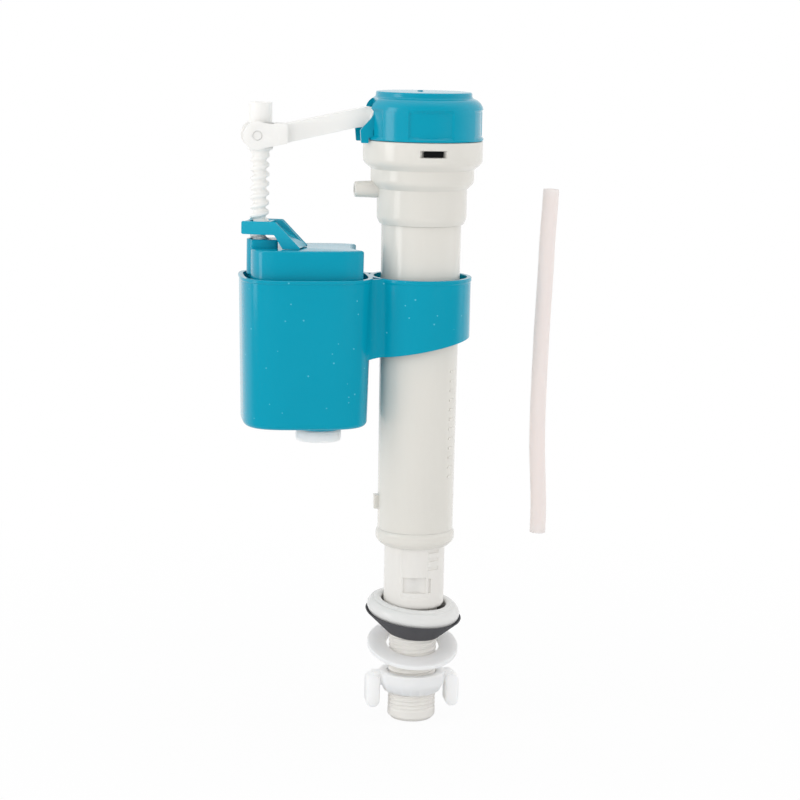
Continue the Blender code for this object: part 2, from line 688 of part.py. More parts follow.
def build_valve_body():
    """The stepped head on the outer tube, with its outlet web, nozzle and small window."""
    seat = TUBE_TOP + GAP
    waterway = HEAD_BORE - TUBE_TOP_RADIUS + TUBE_BORE
    step = 2.6 * MM
    head = turned("valve_body", [
        (NECK_RADIUS, NECK_TOP), (NECK_RADIUS, RIM_TOP), (HEAD_RIM_RADIUS, RIM_TOP),
        (HEAD_RIM_RADIUS, HEAD_MID_TOP + step), (HEAD_RIM_RADIUS - 0.4 * step, HEAD_MID_TOP + 0.55 * step),
        (HEAD_MID_RADIUS + 0.15 * step, HEAD_MID_TOP + 0.1 * step), (HEAD_MID_RADIUS, HEAD_MID_TOP - 0.1 * step),
        (HEAD_MID_RADIUS, HEAD_LOW_TOP + 0.8 * step), (HEAD_MID_RADIUS - 0.3 * step, HEAD_LOW_TOP + 0.45 * step),
        (HEAD_LOW_RADIUS + 0.15 * step, HEAD_LOW_TOP), (HEAD_LOW_RADIUS, HEAD_LOW_TOP - 0.15 * step),
        (HEAD_LOW_RADIUS, HEAD_BOTTOM + step), (HEAD_BORE + OVERLAP, HEAD_BOTTOM), (HEAD_BORE, HEAD_BOTTOM),
        (HEAD_BORE, seat), (waterway, seat), (waterway, WEB_BOTTOM),
        (SUPPLY_RADIUS + GAP, WEB_BOTTOM), (SUPPLY_RADIUS + GAP, WEB_TOP), (CHAMBER_RADIUS, WEB_TOP),
        (CHAMBER_RADIUS, LEDGE), (NECK_BORE, LEDGE), (NECK_BORE, NECK_TOP),
    ])
    tip = (-NOZZLE_REACH, 0.0, NOZZLE_Z)
    root = (-waterway - OVERLAP, 0.0, NOZZLE_Z)
    join(head, cylinder("nozzle", NOZZLE_TIP, tip, root, FACETS_FINE, NOZZLE_ROOT))
    past_tip = (-NOZZLE_REACH - OVERLAP, 0.0, NOZZLE_Z)
    inside = (-waterway + OVERLAP, 0.0, NOZZLE_Z)
    cut(head, cylinder("nozzle_cut", NOZZLE_BORE, past_tip, inside, FACETS_FINE))
    for index in range(WEB_HOLES):
        angle = 2.0 * math.pi * (index + 0.47) / WEB_HOLES
        x = WEB_HOLE_CIRCLE * math.cos(angle)
        y = WEB_HOLE_CIRCLE * math.sin(angle)
        cut(head, cylinder(
            f"web_cut_{index}", WEB_HOLE, (x, y, WEB_BOTTOM - OVERLAP), (x, y, WEB_TOP + OVERLAP), FACETS_FINE,
        ))
    top = RIM_TOP - WINDOW_DROP + WINDOW_HEIGHT / 2
    left = WINDOW_OFFSET - WINDOW_WIDTH / 2
    right = WINDOW_OFFSET + WINDOW_WIDTH / 2
    back = -HEAD_RIM_RADIUS + WINDOW_DEPTH
    cut(head, block(
        "window_cut", (left, -HEAD_RIM_RADIUS - OVERLAP, top - WINDOW_HEIGHT), (right, back, top),
    ))
    finish(head, white)
    flap = block(
        "vent_flap", (left + GAP, back - GAP - FLAP_THICKNESS, top - WINDOW_HEIGHT + GAP),
        (right - GAP, back - GAP, top - GAP),
    )
    finish(flap, black)


def build_main_valve():
    """The diaphragm, its seat disc, the chamber cover with the pilot hole and the cap's seal."""
    hole = SUPPLY_RADIUS + SLIDE_GAP
    diaphragm = turned("diaphragm", [
        (PLATE_RADIUS, DIAPHRAGM_TOP), (PLATE_RADIUS, DIAPHRAGM_BOTTOM), (hole, DIAPHRAGM_BOTTOM),
        (hole, DIAPHRAGM_TOP),
    ])
    finish(diaphragm, black)
    disc = cylinder("seat_disc", SUPPLY_RADIUS, (0, 0, DIAPHRAGM_BOTTOM), (0, 0, DIAPHRAGM_TOP))
    finish(disc, black)

    rim = PLATE_RADIUS - PLATE_RIM_WALL
    recess = DIAPHRAGM_TOP + SEAT_DISC_LIFT + GAP
    dome = PLATE_TOP + PLATE_DOME_HEIGHT
    plate_body = turned("diaphragm_plate", [
        (0.0, dome), (PLATE_DOME, dome), (PLATE_DOME, PLATE_TOP), (rim, PLATE_TOP), (rim, SEAL_RING_TOP),
        (PLATE_RADIUS, SEAL_RING_TOP), (PLATE_RADIUS, PLATE_BOTTOM), (hole, PLATE_BOTTOM), (hole, recess),
        (0.0, recess),
    ], closed=False)
    join(plate_body, cylinder(
        "pilot_boss", PILOT_BOSS, (PILOT_X, 0, PLATE_BOTTOM + OVERLAP), (PILOT_X, 0, PILOT_TOP), FACETS_FINE,
    ))
    cut(plate_body, cylinder(
        "pilot_cut", PILOT_HOLE, (PILOT_X, 0, PLATE_BOTTOM - OVERLAP), (PILOT_X, 0, PILOT_TOP + OVERLAP),
        FACETS_FINE // 2,
    ))
    finish(plate_body, white)

    seal = turned("cap_seal", [
        (NECK_RADIUS, SEAL_RING_TOP), (NECK_RADIUS, SEAL_RING_BOTTOM), (NECK_BORE + GAP, SEAL_RING_BOTTOM),
        (NECK_BORE + GAP, SEAL_RING_TOP),
    ])
    finish(seal, black)


def build_cap():
    """The cap with its raised disc, the lever's slot and the two cheeks that hold the pin."""
    shoulder = CAP_SHOULDER
    disc_bore = CAP_DISC_RADIUS - CAP_TOP_WALL
    cap = turned("cap", [
        (0.0, CAP_TOP), (CAP_DISC_RADIUS - 0.5 * MM, CAP_TOP), (CAP_DISC_RADIUS, CAP_TOP - 0.5 * MM),
        (CAP_DISC_RADIUS, CAP_DISC_BASE), (CAP_RADIUS - 0.92 * shoulder, CAP_DISC_BASE - 0.18 * shoulder),
        (CAP_RADIUS - 0.25 * shoulder, CAP_DISC_BASE - 0.5 * shoulder), (CAP_RADIUS, CAP_DISC_BASE - shoulder),
        (CAP_RADIUS, CAP_BOTTOM), (CAP_BORE, CAP_BOTTOM), (CAP_BORE, CAP_STEP), (CAP_CAVITY, CAP_STEP),
        (CAP_CAVITY, CAP_CEILING), (disc_bore, CAP_CEILING), (disc_bore, CAP_TOP - CAP_TOP_WALL),
        (0.0, CAP_TOP - CAP_TOP_WALL),
    ], closed=False)
    outside = -CAP_RADIUS - CAP_TOP_WALL
    sill = CAP_BOTTOM + SLOT_SILL
    cut(cap, block(
        "slot_cut", (outside, -SLOT_HALF_WIDTH, sill),
        (PIVOT_X + HUB_RADIUS, SLOT_HALF_WIDTH, CAP_CEILING - GAP / 3),
    ))
    cut(cap, block(
        "shoulder_cut", (outside, -SLOT_HALF_WIDTH + GAP / 3, CAP_CEILING - CAP_TOP_WALL),
        (-CAP_DISC_RADIUS - GAP, SLOT_HALF_WIDTH - GAP / 3, CAP_DISC_BASE + CAP_TOP_WALL),
    ))
    over_step = CAP_STEP + GAP
    foot = -CAP_BORE + 0.8 * MM
    tip = -CAP_RADIUS - 2.55 * MM
    outline = [
        (tip, CAP_BOTTOM + 1.0 * MM), (foot, CAP_BOTTOM + 1.0 * MM), (foot, over_step),
        (PIVOT_X + 3.0 * MM, over_step), (PIVOT_X + 3.6 * MM, PIVOT_Z - 1.0 * MM),
        (PIVOT_X + 2.8 * MM, PIVOT_Z + 2.0 * MM), (PIVOT_X, PIVOT_Z + 3.1 * MM),
        (PIVOT_X - 2.8 * MM, PIVOT_Z + 2.2 * MM), (PIVOT_X - 4.4 * MM, PIVOT_Z - 0.2 * MM),
        (tip, CAP_BOTTOM + 4.2 * MM),
    ]
    middle = (CHEEK_INNER + CHEEK_OUTER) / 2
    for side in (-1, 1):
        join(cap, side_plate(f"cheek_{side}", outline, CHEEK_OUTER - CHEEK_INNER, side * middle))
    reach = CHEEK_OUTER - GAP
    cut(cap, cylinder(
        "pin_cut", PIN_RADIUS + GAP, (PIVOT_X, -reach, PIVOT_Z), (PIVOT_X, reach, PIVOT_Z), FACETS_FINE,
    ))
    finish(cap, teal)
    end = reach - GAP
    pin = cylinder("lever_pin", PIN_RADIUS, (PIVOT_X, -end, PIVOT_Z), (PIVOT_X, end, PIVOT_Z), FACETS_FINE)
    finish(pin, white)


def build_lever():
    """The float arm: a bar with a hub on the pin, a pilot arm inside and a fork outside."""
    eye = (EYE_X, EYE_Z)
    low = EYE_Z - 4.4 * MM
    high = EYE_Z + 4.9 * MM
    fork_root = EYE_X + FORK_LENGTH
    rise = LEVER_RISE
    outside = PIVOT_X - HUB_RADIUS - 4.8 * MM
    slot_edge = PIVOT_X - HUB_RADIUS - 0.8 * MM
    arm_end = PILOT_X + SEAL_RADIUS
    arm_low = SEAL_BOTTOM + 1.9 * MM
    run = EYE_X + EYE_RADIUS + 1.3 * MM
    bar_outline = [
        (run + 1.0 * MM, low + rise * MM), (outside, low + rise * (outside - run)),
        (PIVOT_X - 3.0 * MM, PIVOT_Z - 3.7 * MM), (PIVOT_X, PIVOT_Z - 3.0 * MM),
        (PIVOT_X + 3.0 * MM, arm_low), (arm_end, arm_low), (arm_end, arm_low + 4.1 * MM),
        (PIVOT_X + 3.6 * MM, PIVOT_Z + 1.6 * MM), (PIVOT_X - 1.0 * MM, PIVOT_Z + HUB_RADIUS),
        (PIVOT_X - 2.8 * MM, PIVOT_Z + 4.3 * MM), (slot_edge, high + 7.6 * MM), (fork_root, high),
        (run, high),
    ]
    bar = side_plate("lever", bar_outline, LEVER_WIDTH)
    join(bar, cylinder(
        "hub", HUB_RADIUS, (PIVOT_X, -CHEEK_INNER + SLIDE_GAP, PIVOT_Z),
        (PIVOT_X, CHEEK_INNER - SLIDE_GAP, PIVOT_Z), FACETS_SMALL,
    ))
    step = 0.1 * MM
    bridge = [
        (run + 1.0 * MM + step, low + rise * MM + 4 * step), (fork_root + step, low + 1.4 * MM),
        (fork_root + step, high - step), (run + step, high - step),
    ]
    join(bar, side_plate("bridge", bridge, 2 * FORK_OUTER))
    cheek = arc(eye, EYE_RADIUS, 60, 300, 12) + [
        (run, low), (fork_root + 3 * step, low + rise * 5.2 * MM), (fork_root + 3 * step, high),
        (run - 1.4 * MM, high),
    ]
    middle = (FORK_INNER + FORK_OUTER) / 2
    for side in (-1, 1):
        join(bar, side_plate(f"fork_{side}", cheek, CHEEK_THICKNESS - step, side * middle))
    wide = FORK_OUTER + OVERLAP
    cut(bar, cylinder(
        "eye_cut", TRUNNION_RADIUS + GAP, (EYE_X, -wide, EYE_Z), (EYE_X, wide, EYE_Z), FACETS_FINE,
    ))
    cut(bar, cylinder(
        "lever_pin_cut", PIN_RADIUS + GAP, (PIVOT_X, -wide, PIVOT_Z), (PIVOT_X, wide, PIVOT_Z), FACETS_FINE,
    ))
    finish(bar, white)
    pad = cylinder(
        "pilot_seal", SEAL_RADIUS, (PILOT_X, 0, SEAL_BOTTOM), (PILOT_X, 0, arm_low - GAP), FACETS_FINE,
    )
    finish(pad, black)


def build_rod():
    """The swivel block in the fork, the adjuster rod that turns in it and the rod's knob."""
    swivel = cylinder("swivel_block", BLOCK_RADIUS, (ROD_X, 0, BLOCK_BOTTOM), (ROD_X, 0, BLOCK_TOP))
    wide = FORK_OUTER - GAP
    join(swivel, cylinder("trunnion", TRUNNION_RADIUS, (EYE_X, -wide, EYE_Z), (EYE_X, wide, EYE_Z), FACETS_FINE))
    cut(swivel, cylinder(
        "neck_cut", ROD_NECK + SLIDE_GAP, (ROD_X, 0, BLOCK_BOTTOM - OVERLAP),
        (ROD_X, 0, BLOCK_TOP + OVERLAP), FACETS_SMALL,
    ))
    finish(swivel, white)

    profile = [
        (0.0, NECK_END), (ROD_NECK, NECK_END), (ROD_NECK, FLANGE_TOP), (ROD_FLANGE, FLANGE_TOP),
        (ROD_FLANGE, FLANGE_TOP - ROD_FLANGE_HEIGHT / 2), (ROD_MAJOR, THREAD_TOP), (ROD_MINOR, THREAD_TOP - GAP),
    ]
    for turn in range(1, ROD_TURNS):
        crest = THREAD_TOP - turn * ROD_PITCH
        profile += [
            (ROD_MINOR, crest + ROD_PITCH * 0.28), (ROD_MAJOR, crest + ROD_PITCH * 0.07),
            (ROD_MAJOR, crest - ROD_PITCH * 0.07), (ROD_MINOR, crest - ROD_PITCH * 0.28),
        ]
    profile += [(ROD_MINOR, THREAD_BOTTOM), (0.0, THREAD_BOTTOM)]
    rod = turned("adjuster_rod", profile, FACETS_FINE, closed=False)
    rod.location.x = ROD_X
    finish(rod, white)

    bore = ROD_NECK + GAP
    knob = turned("adjuster_knob", [
        (KNOB_RADIUS, KNOB_TOP), (KNOB_RADIUS, KNOB_BOTTOM), (bore, KNOB_BOTTOM), (bore, NECK_END + GAP),
        (KNOB_RECESS, NECK_END + GAP), (KNOB_RECESS, KNOB_TOP),
    ], FACETS_SMALL)
    knob.location.x = ROD_X
    finish(knob, white)


def oval(left, right, half_depth, squareness, scale, height, scoop=0.0, count=48):
    """Points of a squared oval about its own centre, scooped out round the column's axis."""
    centre = (left + right) / 2
    half = (right - left) / 2
    points = []
    for index in range(count):
        angle = 2.0 * math.pi * (index + 0.5) / count
        across = math.copysign(abs(math.cos(angle)) ** (2.0 / squareness), math.cos(angle))
        along = math.copysign(abs(math.sin(angle)) ** (2.0 / squareness), math.sin(angle))
        x = centre + half * scale * across
        y = half_depth * scale * along
        if abs(y) < scoop:
            x = min(x, -math.sqrt(scoop * scoop - y * y))
        points.append((x, y, height))
    return points


def build_float():
    """The float, open below, with the rod's well and boss, and the clip on the rod's thread."""
    def ring(inset, taper, height):
        return oval(
            FLOAT_LEFT + inset, FLOAT_RIGHT - inset, FLOAT_HALF_DEPTH - inset, FLOAT_SQUARENESS, taper,
            height, FLOAT_SCOOP + inset,
        )

    edge = FLOAT_WALL * 0.7
    body = loft("float", [
        ring(0.0, FLOAT_TAPER, FLOAT_BOTTOM), ring(0.0, 1.0, FLOAT_TOP - edge),
        ring(FLOAT_WALL / 3, 1.0, FLOAT_TOP),
    ])
    hollow = loft("float_hollow", [
        ring(FLOAT_WALL, FLOAT_TAPER, FLOAT_BOTTOM - OVERLAP), ring(FLOAT_WALL, 1.0, FLOAT_TOP - FLOAT_WALL),
    ])
    cut(body, hollow)
    outer = ROD_HOLE + WELL_WALL
    join(body, cylinder("well", outer, (ROD_X, 0, WELL_BOTTOM), (ROD_X, 0, WELL_TOP), FACETS_SMALL))
    join(body, block(
        "boss", (ROD_X - BOSS_LEFT, -BOSS_HALF_DEPTH, FLOAT_TOP - OVERLAP),
        (ROD_X + BOSS_RIGHT, BOSS_HALF_DEPTH, WELL_TOP - GAP / 3),
    ))
    cut(body, cylinder(
        "well_cut", ROD_HOLE, (ROD_X, 0, WELL_BOTTOM + WELL_FLOOR), (ROD_X, 0, WELL_TOP + OVERLAP), FACETS_SMALL,
    ))
    finish(body, teal)

    band = WELL_TOP + CLIP_BAND_RISE - BOSS_HEIGHT
    top = band + CLIP_BAND
    seat = FLOAT_TOP + SLIDE_GAP
    place = Matrix.Translation((ROD_X, 0, 0)) @ Matrix.Rotation(CLIP_TURN, 4, "Z")
    upright = Matrix.Rotation(math.pi / 2, 4, "X")
    clip = plate("float_clip", [
        (-CLIP_LEFT, band), (CLIP_SHOULDER - 0.3 * MM, band), (CLIP_FOOT - 6.4 * MM, seat), (CLIP_FOOT, seat),
        (CLIP_SHOULDER, top), (-CLIP_LEFT, top),
    ], CLIP_DEPTH, place @ upright)
    cut(clip, plate("channel_cut", [
        (CLIP_SHOULDER - 3.0 * MM, top + OVERLAP), (CLIP_SHOULDER - 3.0 * MM, band + CLIP_WALL),
        (CLIP_SHOULDER, band + CLIP_WALL), (CLIP_FOOT - CLIP_WALL, seat + CLIP_WALL),
        (CLIP_FOOT + CLIP_WALL, seat + CLIP_WALL), (CLIP_FOOT + CLIP_WALL, top + OVERLAP),
    ], CLIP_DEPTH - 2 * CLIP_WALL, place @ upright))
    cut(clip, cylinder("rod_cut", ROD_HOLE, (ROD_X, 0, seat), (ROD_X, 0, top + OVERLAP), FACETS_SMALL))
    finish(clip, teal)


def build_cup():
    """The float cup: its tray, the hoop round the tube, the two webs and the drain spigot."""
    def ring(inset, taper, height):
        return oval(
            CUP_LEFT + inset, CUP_RIGHT - inset, CUP_HALF_DEPTH - inset, CUP_SQUARENESS, taper, height,
        )

    tray = loft("float_cup", [
        ring(CUP_EDGE, CUP_TAPER, CUP_BOTTOM), ring(CUP_EDGE * 0.3, CUP_TAPER, CUP_BOTTOM + CUP_EDGE * 0.3),
        ring(0.0, CUP_TAPER, CUP_BOTTOM + CUP_EDGE), ring(0.0, 1.0, CUP_TOP),
    ])
    hoop_bore = HOOP_RADIUS - CUP_WALL
    low = HOOP_LOW_LEFT
    hoop = turned("hoop", [
        (HOOP_RADIUS, CUP_TOP - SEAM), (HOOP_RADIUS, low), (hoop_bore, low), (hoop_bore, CUP_TOP - SEAM),
    ])
    wide = HOOP_RADIUS + 4 * MM
    slope = (HOOP_LOW_RIGHT - HOOP_LOW_LEFT) / (2 * HOOP_RADIUS)
    underside = side_plate("underside_cut", [
        (-wide, low - 4 * MM), (wide, low - 4 * MM), (wide, HOOP_LOW_LEFT + slope * (wide + HOOP_RADIUS)),
        (-wide, HOOP_LOW_LEFT + slope * (HOOP_RADIUS - wide)),
    ], 4 * wide)
    cut(hoop, underside)
    guide_face = TUBE_TOP_RADIUS + GAP
    for index, degrees in enumerate((40.0, 180.0, 320.0)):
        rib = block(
            f"guide_{index}", (guide_face, -GUIDE_WIDTH / 2, HOOP_LOW_RIGHT + 1 * MM),
            (hoop_bore + OVERLAP, GUIDE_WIDTH / 2, CUP_TOP - 1 * MM), math.radians(degrees),
        )
        join(hoop, rib)
    join(tray, hoop)
    web_reach = HOOP_RADIUS - 2 * SEAM
    web_start = (CUP_RIGHT - WEB_INSET[0], WEB_INSET[1] - CUP_HALF_DEPTH)
    web_end = (-web_reach * math.cos(WEB_ANGLE), -web_reach * math.sin(WEB_ANGLE))
    for side in (-1, 1):
        front = []
        back = []
        for index in range(7):
            share = index / 6
            bow = WEB_BOW * 4 * share * (1 - share)
            x = web_start[0] + (web_end[0] - web_start[0]) * share
            y = web_start[1] + (web_end[1] - web_start[1]) * share + bow
            front.append((x, -side * y))
            back.append((x, -side * (y + CUP_WALL)))
        place = Matrix.Translation((0, 0, (CUP_TOP + low) / 2))
        web = plate(f"web_{side}", front + back[::-1], CUP_TOP - low - 4 * SEAM, place)
        cut(web, underside)
        join(tray, web)
    join(tray, cylinder(
        "spigot", SPIGOT_RADIUS, (SPIGOT_X, 0, SPIGOT_BOTTOM), (SPIGOT_X, 0, CUP_BOTTOM + CUP_EDGE * 0.8),
    ))
    hollow = loft("cup_hollow", [
        ring(CUP_WALL + CUP_EDGE * 0.7, CUP_TAPER, CUP_FLOOR), ring(CUP_WALL, CUP_TAPER, CUP_FLOOR + CUP_EDGE),
        ring(CUP_WALL, 1.0 + 0.001, CUP_TOP + OVERLAP),
    ])
    cut(tray, hollow)
    cut(tray, cylinder(
        "spigot_cut", PLUG_STEM + GAP, (SPIGOT_X, 0, SPIGOT_BOTTOM - OVERLAP), (SPIGOT_X, 0, CUP_FLOOR + OVERLAP),
    ))
    finish(tray, teal)

    flange = SPIGOT_BOTTOM - GAP
    plug = turned("cup_plug", [
        (PLUG_STEM, CUP_FLOOR), (PLUG_STEM, flange), (PLUG_FLANGE, flange),
        (PLUG_FLANGE, flange - PLUG_FLANGE_HEIGHT), (PLUG_BORE, flange - PLUG_FLANGE_HEIGHT),
        (PLUG_BORE, CUP_FLOOR),
    ], FACETS_SMALL)
    plug.location.x = SPIGOT_X
    finish(plug, white)
    low = CUP_FLOOR + GAP
    flap = cylinder("cup_flap", CUP_FLAP_RADIUS, (SPIGOT_X, 0, low), (SPIGOT_X, 0, low + CUP_FLAP_THICKNESS))
    finish(flap, black)


def build_refill_tube():
    """The loose refill tube, a plain round length on its own route."""
    curve = bpy.data.curves.new("refill_tube", "CURVE")
    curve.dimensions = "3D"
    curve.bevel_depth = REFILL_RADIUS
    curve.bevel_resolution = 2
    curve.use_fill_caps = True
    spline = curve.splines.new("POLY")
    spline.points.add(len(REFILL_ROUTE) - 1)
    for point, (x, z) in zip(spline.points, REFILL_ROUTE):
        point.co = (x * MM, 0.0, z * MM, 1.0)
    finish(add_object("refill_tube", curve, parts), clear_white)


clear_scene()
parts = make_collection("toilet_fill_valve")
cutters = make_collection("cutters")
build_riser_shank()
build_inlet()
build_fastening()
build_outer_tube()
build_supply()
build_valve_body()
build_main_valve()
build_cap()
build_lever()
build_rod()
build_float()
build_cup()
build_refill_tube()
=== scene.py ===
"""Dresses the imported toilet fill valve: smooth moulded shapes, finishes, stage, lights and camera.

The frame is the solids' own: +Z up the column, the float cup on the -X side, z = 0 in the plane
where the cone gasket seals the tank. Shapes are worked out in millimetres and become metres in
as_piece(). The stage and the finishes are in metres.
"""

import logging
import math
from collections.abc import Callable
from dataclasses import dataclass, replace
from enum import Enum

import bmesh
import bpy
import numpy as np
from mathutils import Matrix, Vector


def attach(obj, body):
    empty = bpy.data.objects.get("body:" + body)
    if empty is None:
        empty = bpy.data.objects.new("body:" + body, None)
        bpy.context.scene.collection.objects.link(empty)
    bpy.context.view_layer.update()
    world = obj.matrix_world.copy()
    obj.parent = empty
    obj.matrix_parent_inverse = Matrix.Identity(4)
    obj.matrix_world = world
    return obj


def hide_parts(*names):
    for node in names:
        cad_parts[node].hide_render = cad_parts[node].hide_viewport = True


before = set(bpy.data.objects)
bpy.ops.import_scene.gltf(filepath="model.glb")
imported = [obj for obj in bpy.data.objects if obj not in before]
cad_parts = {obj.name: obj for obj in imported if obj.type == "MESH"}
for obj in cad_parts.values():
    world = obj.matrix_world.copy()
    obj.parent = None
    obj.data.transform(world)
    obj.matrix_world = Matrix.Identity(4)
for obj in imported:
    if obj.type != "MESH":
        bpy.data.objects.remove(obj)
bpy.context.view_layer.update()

log = logging.getLogger("fill_valve")

MM = 0.001              # metres in a millimetre
PAST = 1.0              # how far a cutter or an overlap reaches past a face
HAIR = 1e-4             # points nearer than this are one
Array = np.ndarray
Point = tuple[float, float, float]
Span = tuple[float, float]
Object, Tree, Node = bpy.types.Object, bpy.types.NodeTree, bpy.types.Node
Wave = Callable[[Array, Array], Array]

FINE_STEPS = 160        # columns round a large turned piece
SMALL_STEPS = 64        # columns round a small one
ARC_STEPS = 4           # points on a rounded corner
CREASE = math.radians(38.0)   # folds sharper than this stay crisp under smooth shading

WHITE = (1.0, 1.0, 1.0, 1.0)
SWELL_SCALE, GRAIN_SCALE, CLOUD_SCALE, FLECK_SCALE = 55.0, 2600.0, 22.0, 230.0   # features in a metre
GLOSS_SPREAD = 0.15     # share by which roughness varies over a surface
RELIEF_DEPTH = 0.05 * MM
MILK_RADIUS = (1.0, 0.95, 0.9)   # how far red, green and blue light spreads in milky plastic


# Shapes: grids of points worked out as whole arrays

@dataclass
class Shell:
    """Points and the faces between them, before they become a mesh."""

    points: Array
    faces: list[list[int]]

    def moved(self, matrix: Matrix) -> "Shell":
        """The shell carried by a matrix, which keeps its faces.

        Args:
            matrix: a 4 by 4 transform without a mirror in it.

        Returns:
            A new shell.
        """
        turn = np.array(matrix)
        return Shell(self.points @ turn[:3, :3].T + turn[:3, 3], self.faces)

    def joined(self, *others: "Shell") -> "Shell":
        """This shell and the others as one list of points and faces.

        Args:
            others: shells that are set beside this one, not merged with it.

        Returns:
            A new shell.
        """
        points, faces, start = [self.points], list(self.faces), len(self.points)
        for other in others:
            points.append(other.points)
            faces.extend((np.array(face) + start).tolist() for face in other.faces)
            start += len(other.points)
        return Shell(np.concatenate(points), faces)


def grid_faces(rows: int, columns: int, wrap_rows: bool = False, wrap_columns: bool = False) -> list[list[int]]:
    """Quads of a grid whose point (row, column) has the index row * columns + column.

    Args:
        rows: number of rows of points.
        columns: number of points in a row.
        wrap_rows: joins the last row to the first.
        wrap_columns: joins each row's end to its start.

    Returns:
        The quads, all wound the same way.
    """
    row = np.arange(rows if wrap_rows else rows - 1)
    column = np.arange(columns if wrap_columns else columns - 1)
    here, there = np.meshgrid(row, column, indexing="ij")
    next_row, next_column = (here + 1) % rows, (there + 1) % columns
    quads = np.stack([
        here * columns + there, here * columns + next_column,
        next_row * columns + next_column, next_row * columns + there,
    ], axis=-1)
    return quads.reshape(-1, 4).tolist()


def rounded(corners: list[Span], radius: float | list[float], closed: bool = True) -> Array:
    """A polyline with its corners rounded.

    Each corner C becomes the curve (1-t)^2 A + 2t(1-t) C + t^2 B, where A and B lie the radius
    before and after it on its two sides, or at 0.45 of a side that is shorter.

    Args:
        corners: the polyline's points.
        radius: one length for all the corners, or one for each.
        closed: whether the last corner joins the first.

    Returns:
        The rounded line's points.
    """
    corner = np.array(corners, float)
    size = np.broadcast_to(np.array(radius, float), len(corner)).astype(float)
    if not closed:
        size = np.concatenate([[0.0], size[1:-1], [0.0]])
    before, after = np.roll(corner, 1, axis=0) - corner, np.roll(corner, -1, axis=0) - corner
    before_length = np.linalg.norm(before, axis=1)
    after_length = np.linalg.norm(after, axis=1)
    reach = np.minimum(size, 0.45 * np.minimum(before_length, after_length))
    start = corner + before * (reach / before_length)[:, None]
    end = corner + after * (reach / after_length)[:, None]
    t = np.linspace(0.0, 1.0, ARC_STEPS + 1)[None, :, None]
    arcs = (1 - t) ** 2 * start[:, None] + 2 * t * (1 - t) * corner[:, None] + t ** 2 * end[:, None]
    line = arcs.reshape(-1, 2)
    keep = np.linalg.norm(line - np.roll(line, 1, axis=0), axis=1) > HAIR
    if not closed:
        keep[0] = True
    return line[keep]


def circle(radius: float, steps: int = SMALL_STEPS, centre: Span = (0.0, 0.0)) -> Array:
    """Points (cx + r cos a, cy + r sin a) for equal steps of a, round once."""
    angle = np.linspace(0.0, math.tau, steps, endpoint=False)
    return np.stack([centre[0] + radius * np.cos(angle), centre[1] + radius * np.sin(angle)], axis=1)


def turned(profile: Array, steps: int = FINE_STEPS, wave: Wave | None = None) -> Shell:
    """A profile of (radius, height) turned about the Z axis.

    A point is ((r + w) cos a, (r + w) sin a, z), with w = wave(a, z) where one is given and the
    point isn't on the axis.

    Args:
        profile: loop of (radius, height), the outer side running downwards. It is open where it
            starts and ends on the axis.
        steps: columns round the axis.
        wave: change of radius at an angle and height, as arrays.

    Returns:
        The closed surface.
    """
    angle = np.linspace(0.0, math.tau, steps, endpoint=False)[None, :]
    radius, height = profile[:, :1], np.repeat(profile[:, 1:2], steps, axis=1)
    if wave is not None:
        radius = radius + wave(angle + 0 * radius, height) * (radius > 0)
    points = np.stack([radius * np.cos(angle), radius * np.sin(angle), height], axis=-1)
    ring = profile[0, 0] > 0 or profile[-1, 0] > 0
    return Shell(points.reshape(-1, 3), grid_faces(len(profile), steps, ring, True))


def prism(outline: Array, low: float, high: float, edge: float = 0.0) -> Shell:
    """An outline of (x, y) raised from low to high, with quarter-round edges at both ends.

    Along the edge the outline steps inwards by e (1 - cos t) while it rises by e sin t.

    Args:
        outline: closed loop, anticlockwise seen from above.
        low: height of the lower face.
        high: height of the upper face.
        edge: radius of the rounding.

    Returns:
        The closed prism.
    """
    along = np.roll(outline, -1, axis=0) - np.roll(outline, 1, axis=0)
    inward = np.stack([-along[:, 1], along[:, 0]], axis=1)
    inward /= np.maximum(np.linalg.norm(inward, axis=1), 1e-12)[:, None]
    t = np.linspace(0.0, math.pi / 2, ARC_STEPS if edge else 1)
    step, rise = edge * (1 - np.sin(t)), edge * (1 - np.cos(t))
    inset = np.concatenate([step, step[::-1]])
    height = np.concatenate([low + rise, high - rise[::-1]])
    ring = outline[None] + inward[None] * inset[:, None, None]
    level = np.broadcast_to(height[:, None, None], (len(height), len(outline), 1))
    points = np.concatenate([ring, level], axis=-1).reshape(-1, 3)
    rows, columns = len(height), len(outline)
    top = (np.arange(columns) + (rows - 1) * columns).tolist()
    return Shell(points, grid_faces(rows, columns, False, True) + [list(range(columns))[::-1], top])


def loft(rings: list[Array], heights: list[float]) -> Shell:
    """Rings of (x, y) with the same number of points, joined in order and capped at both ends."""
    columns = len(rings[0])
    level = np.repeat(np.array(heights, float), columns)[:, None]
    points = np.concatenate([np.concatenate(rings), level], axis=1)
    top = (np.arange(columns) + (len(rings) - 1) * columns).tolist()
    return Shell(points, grid_faces(len(rings), columns, False, True) + [list(range(columns))[::-1], top])


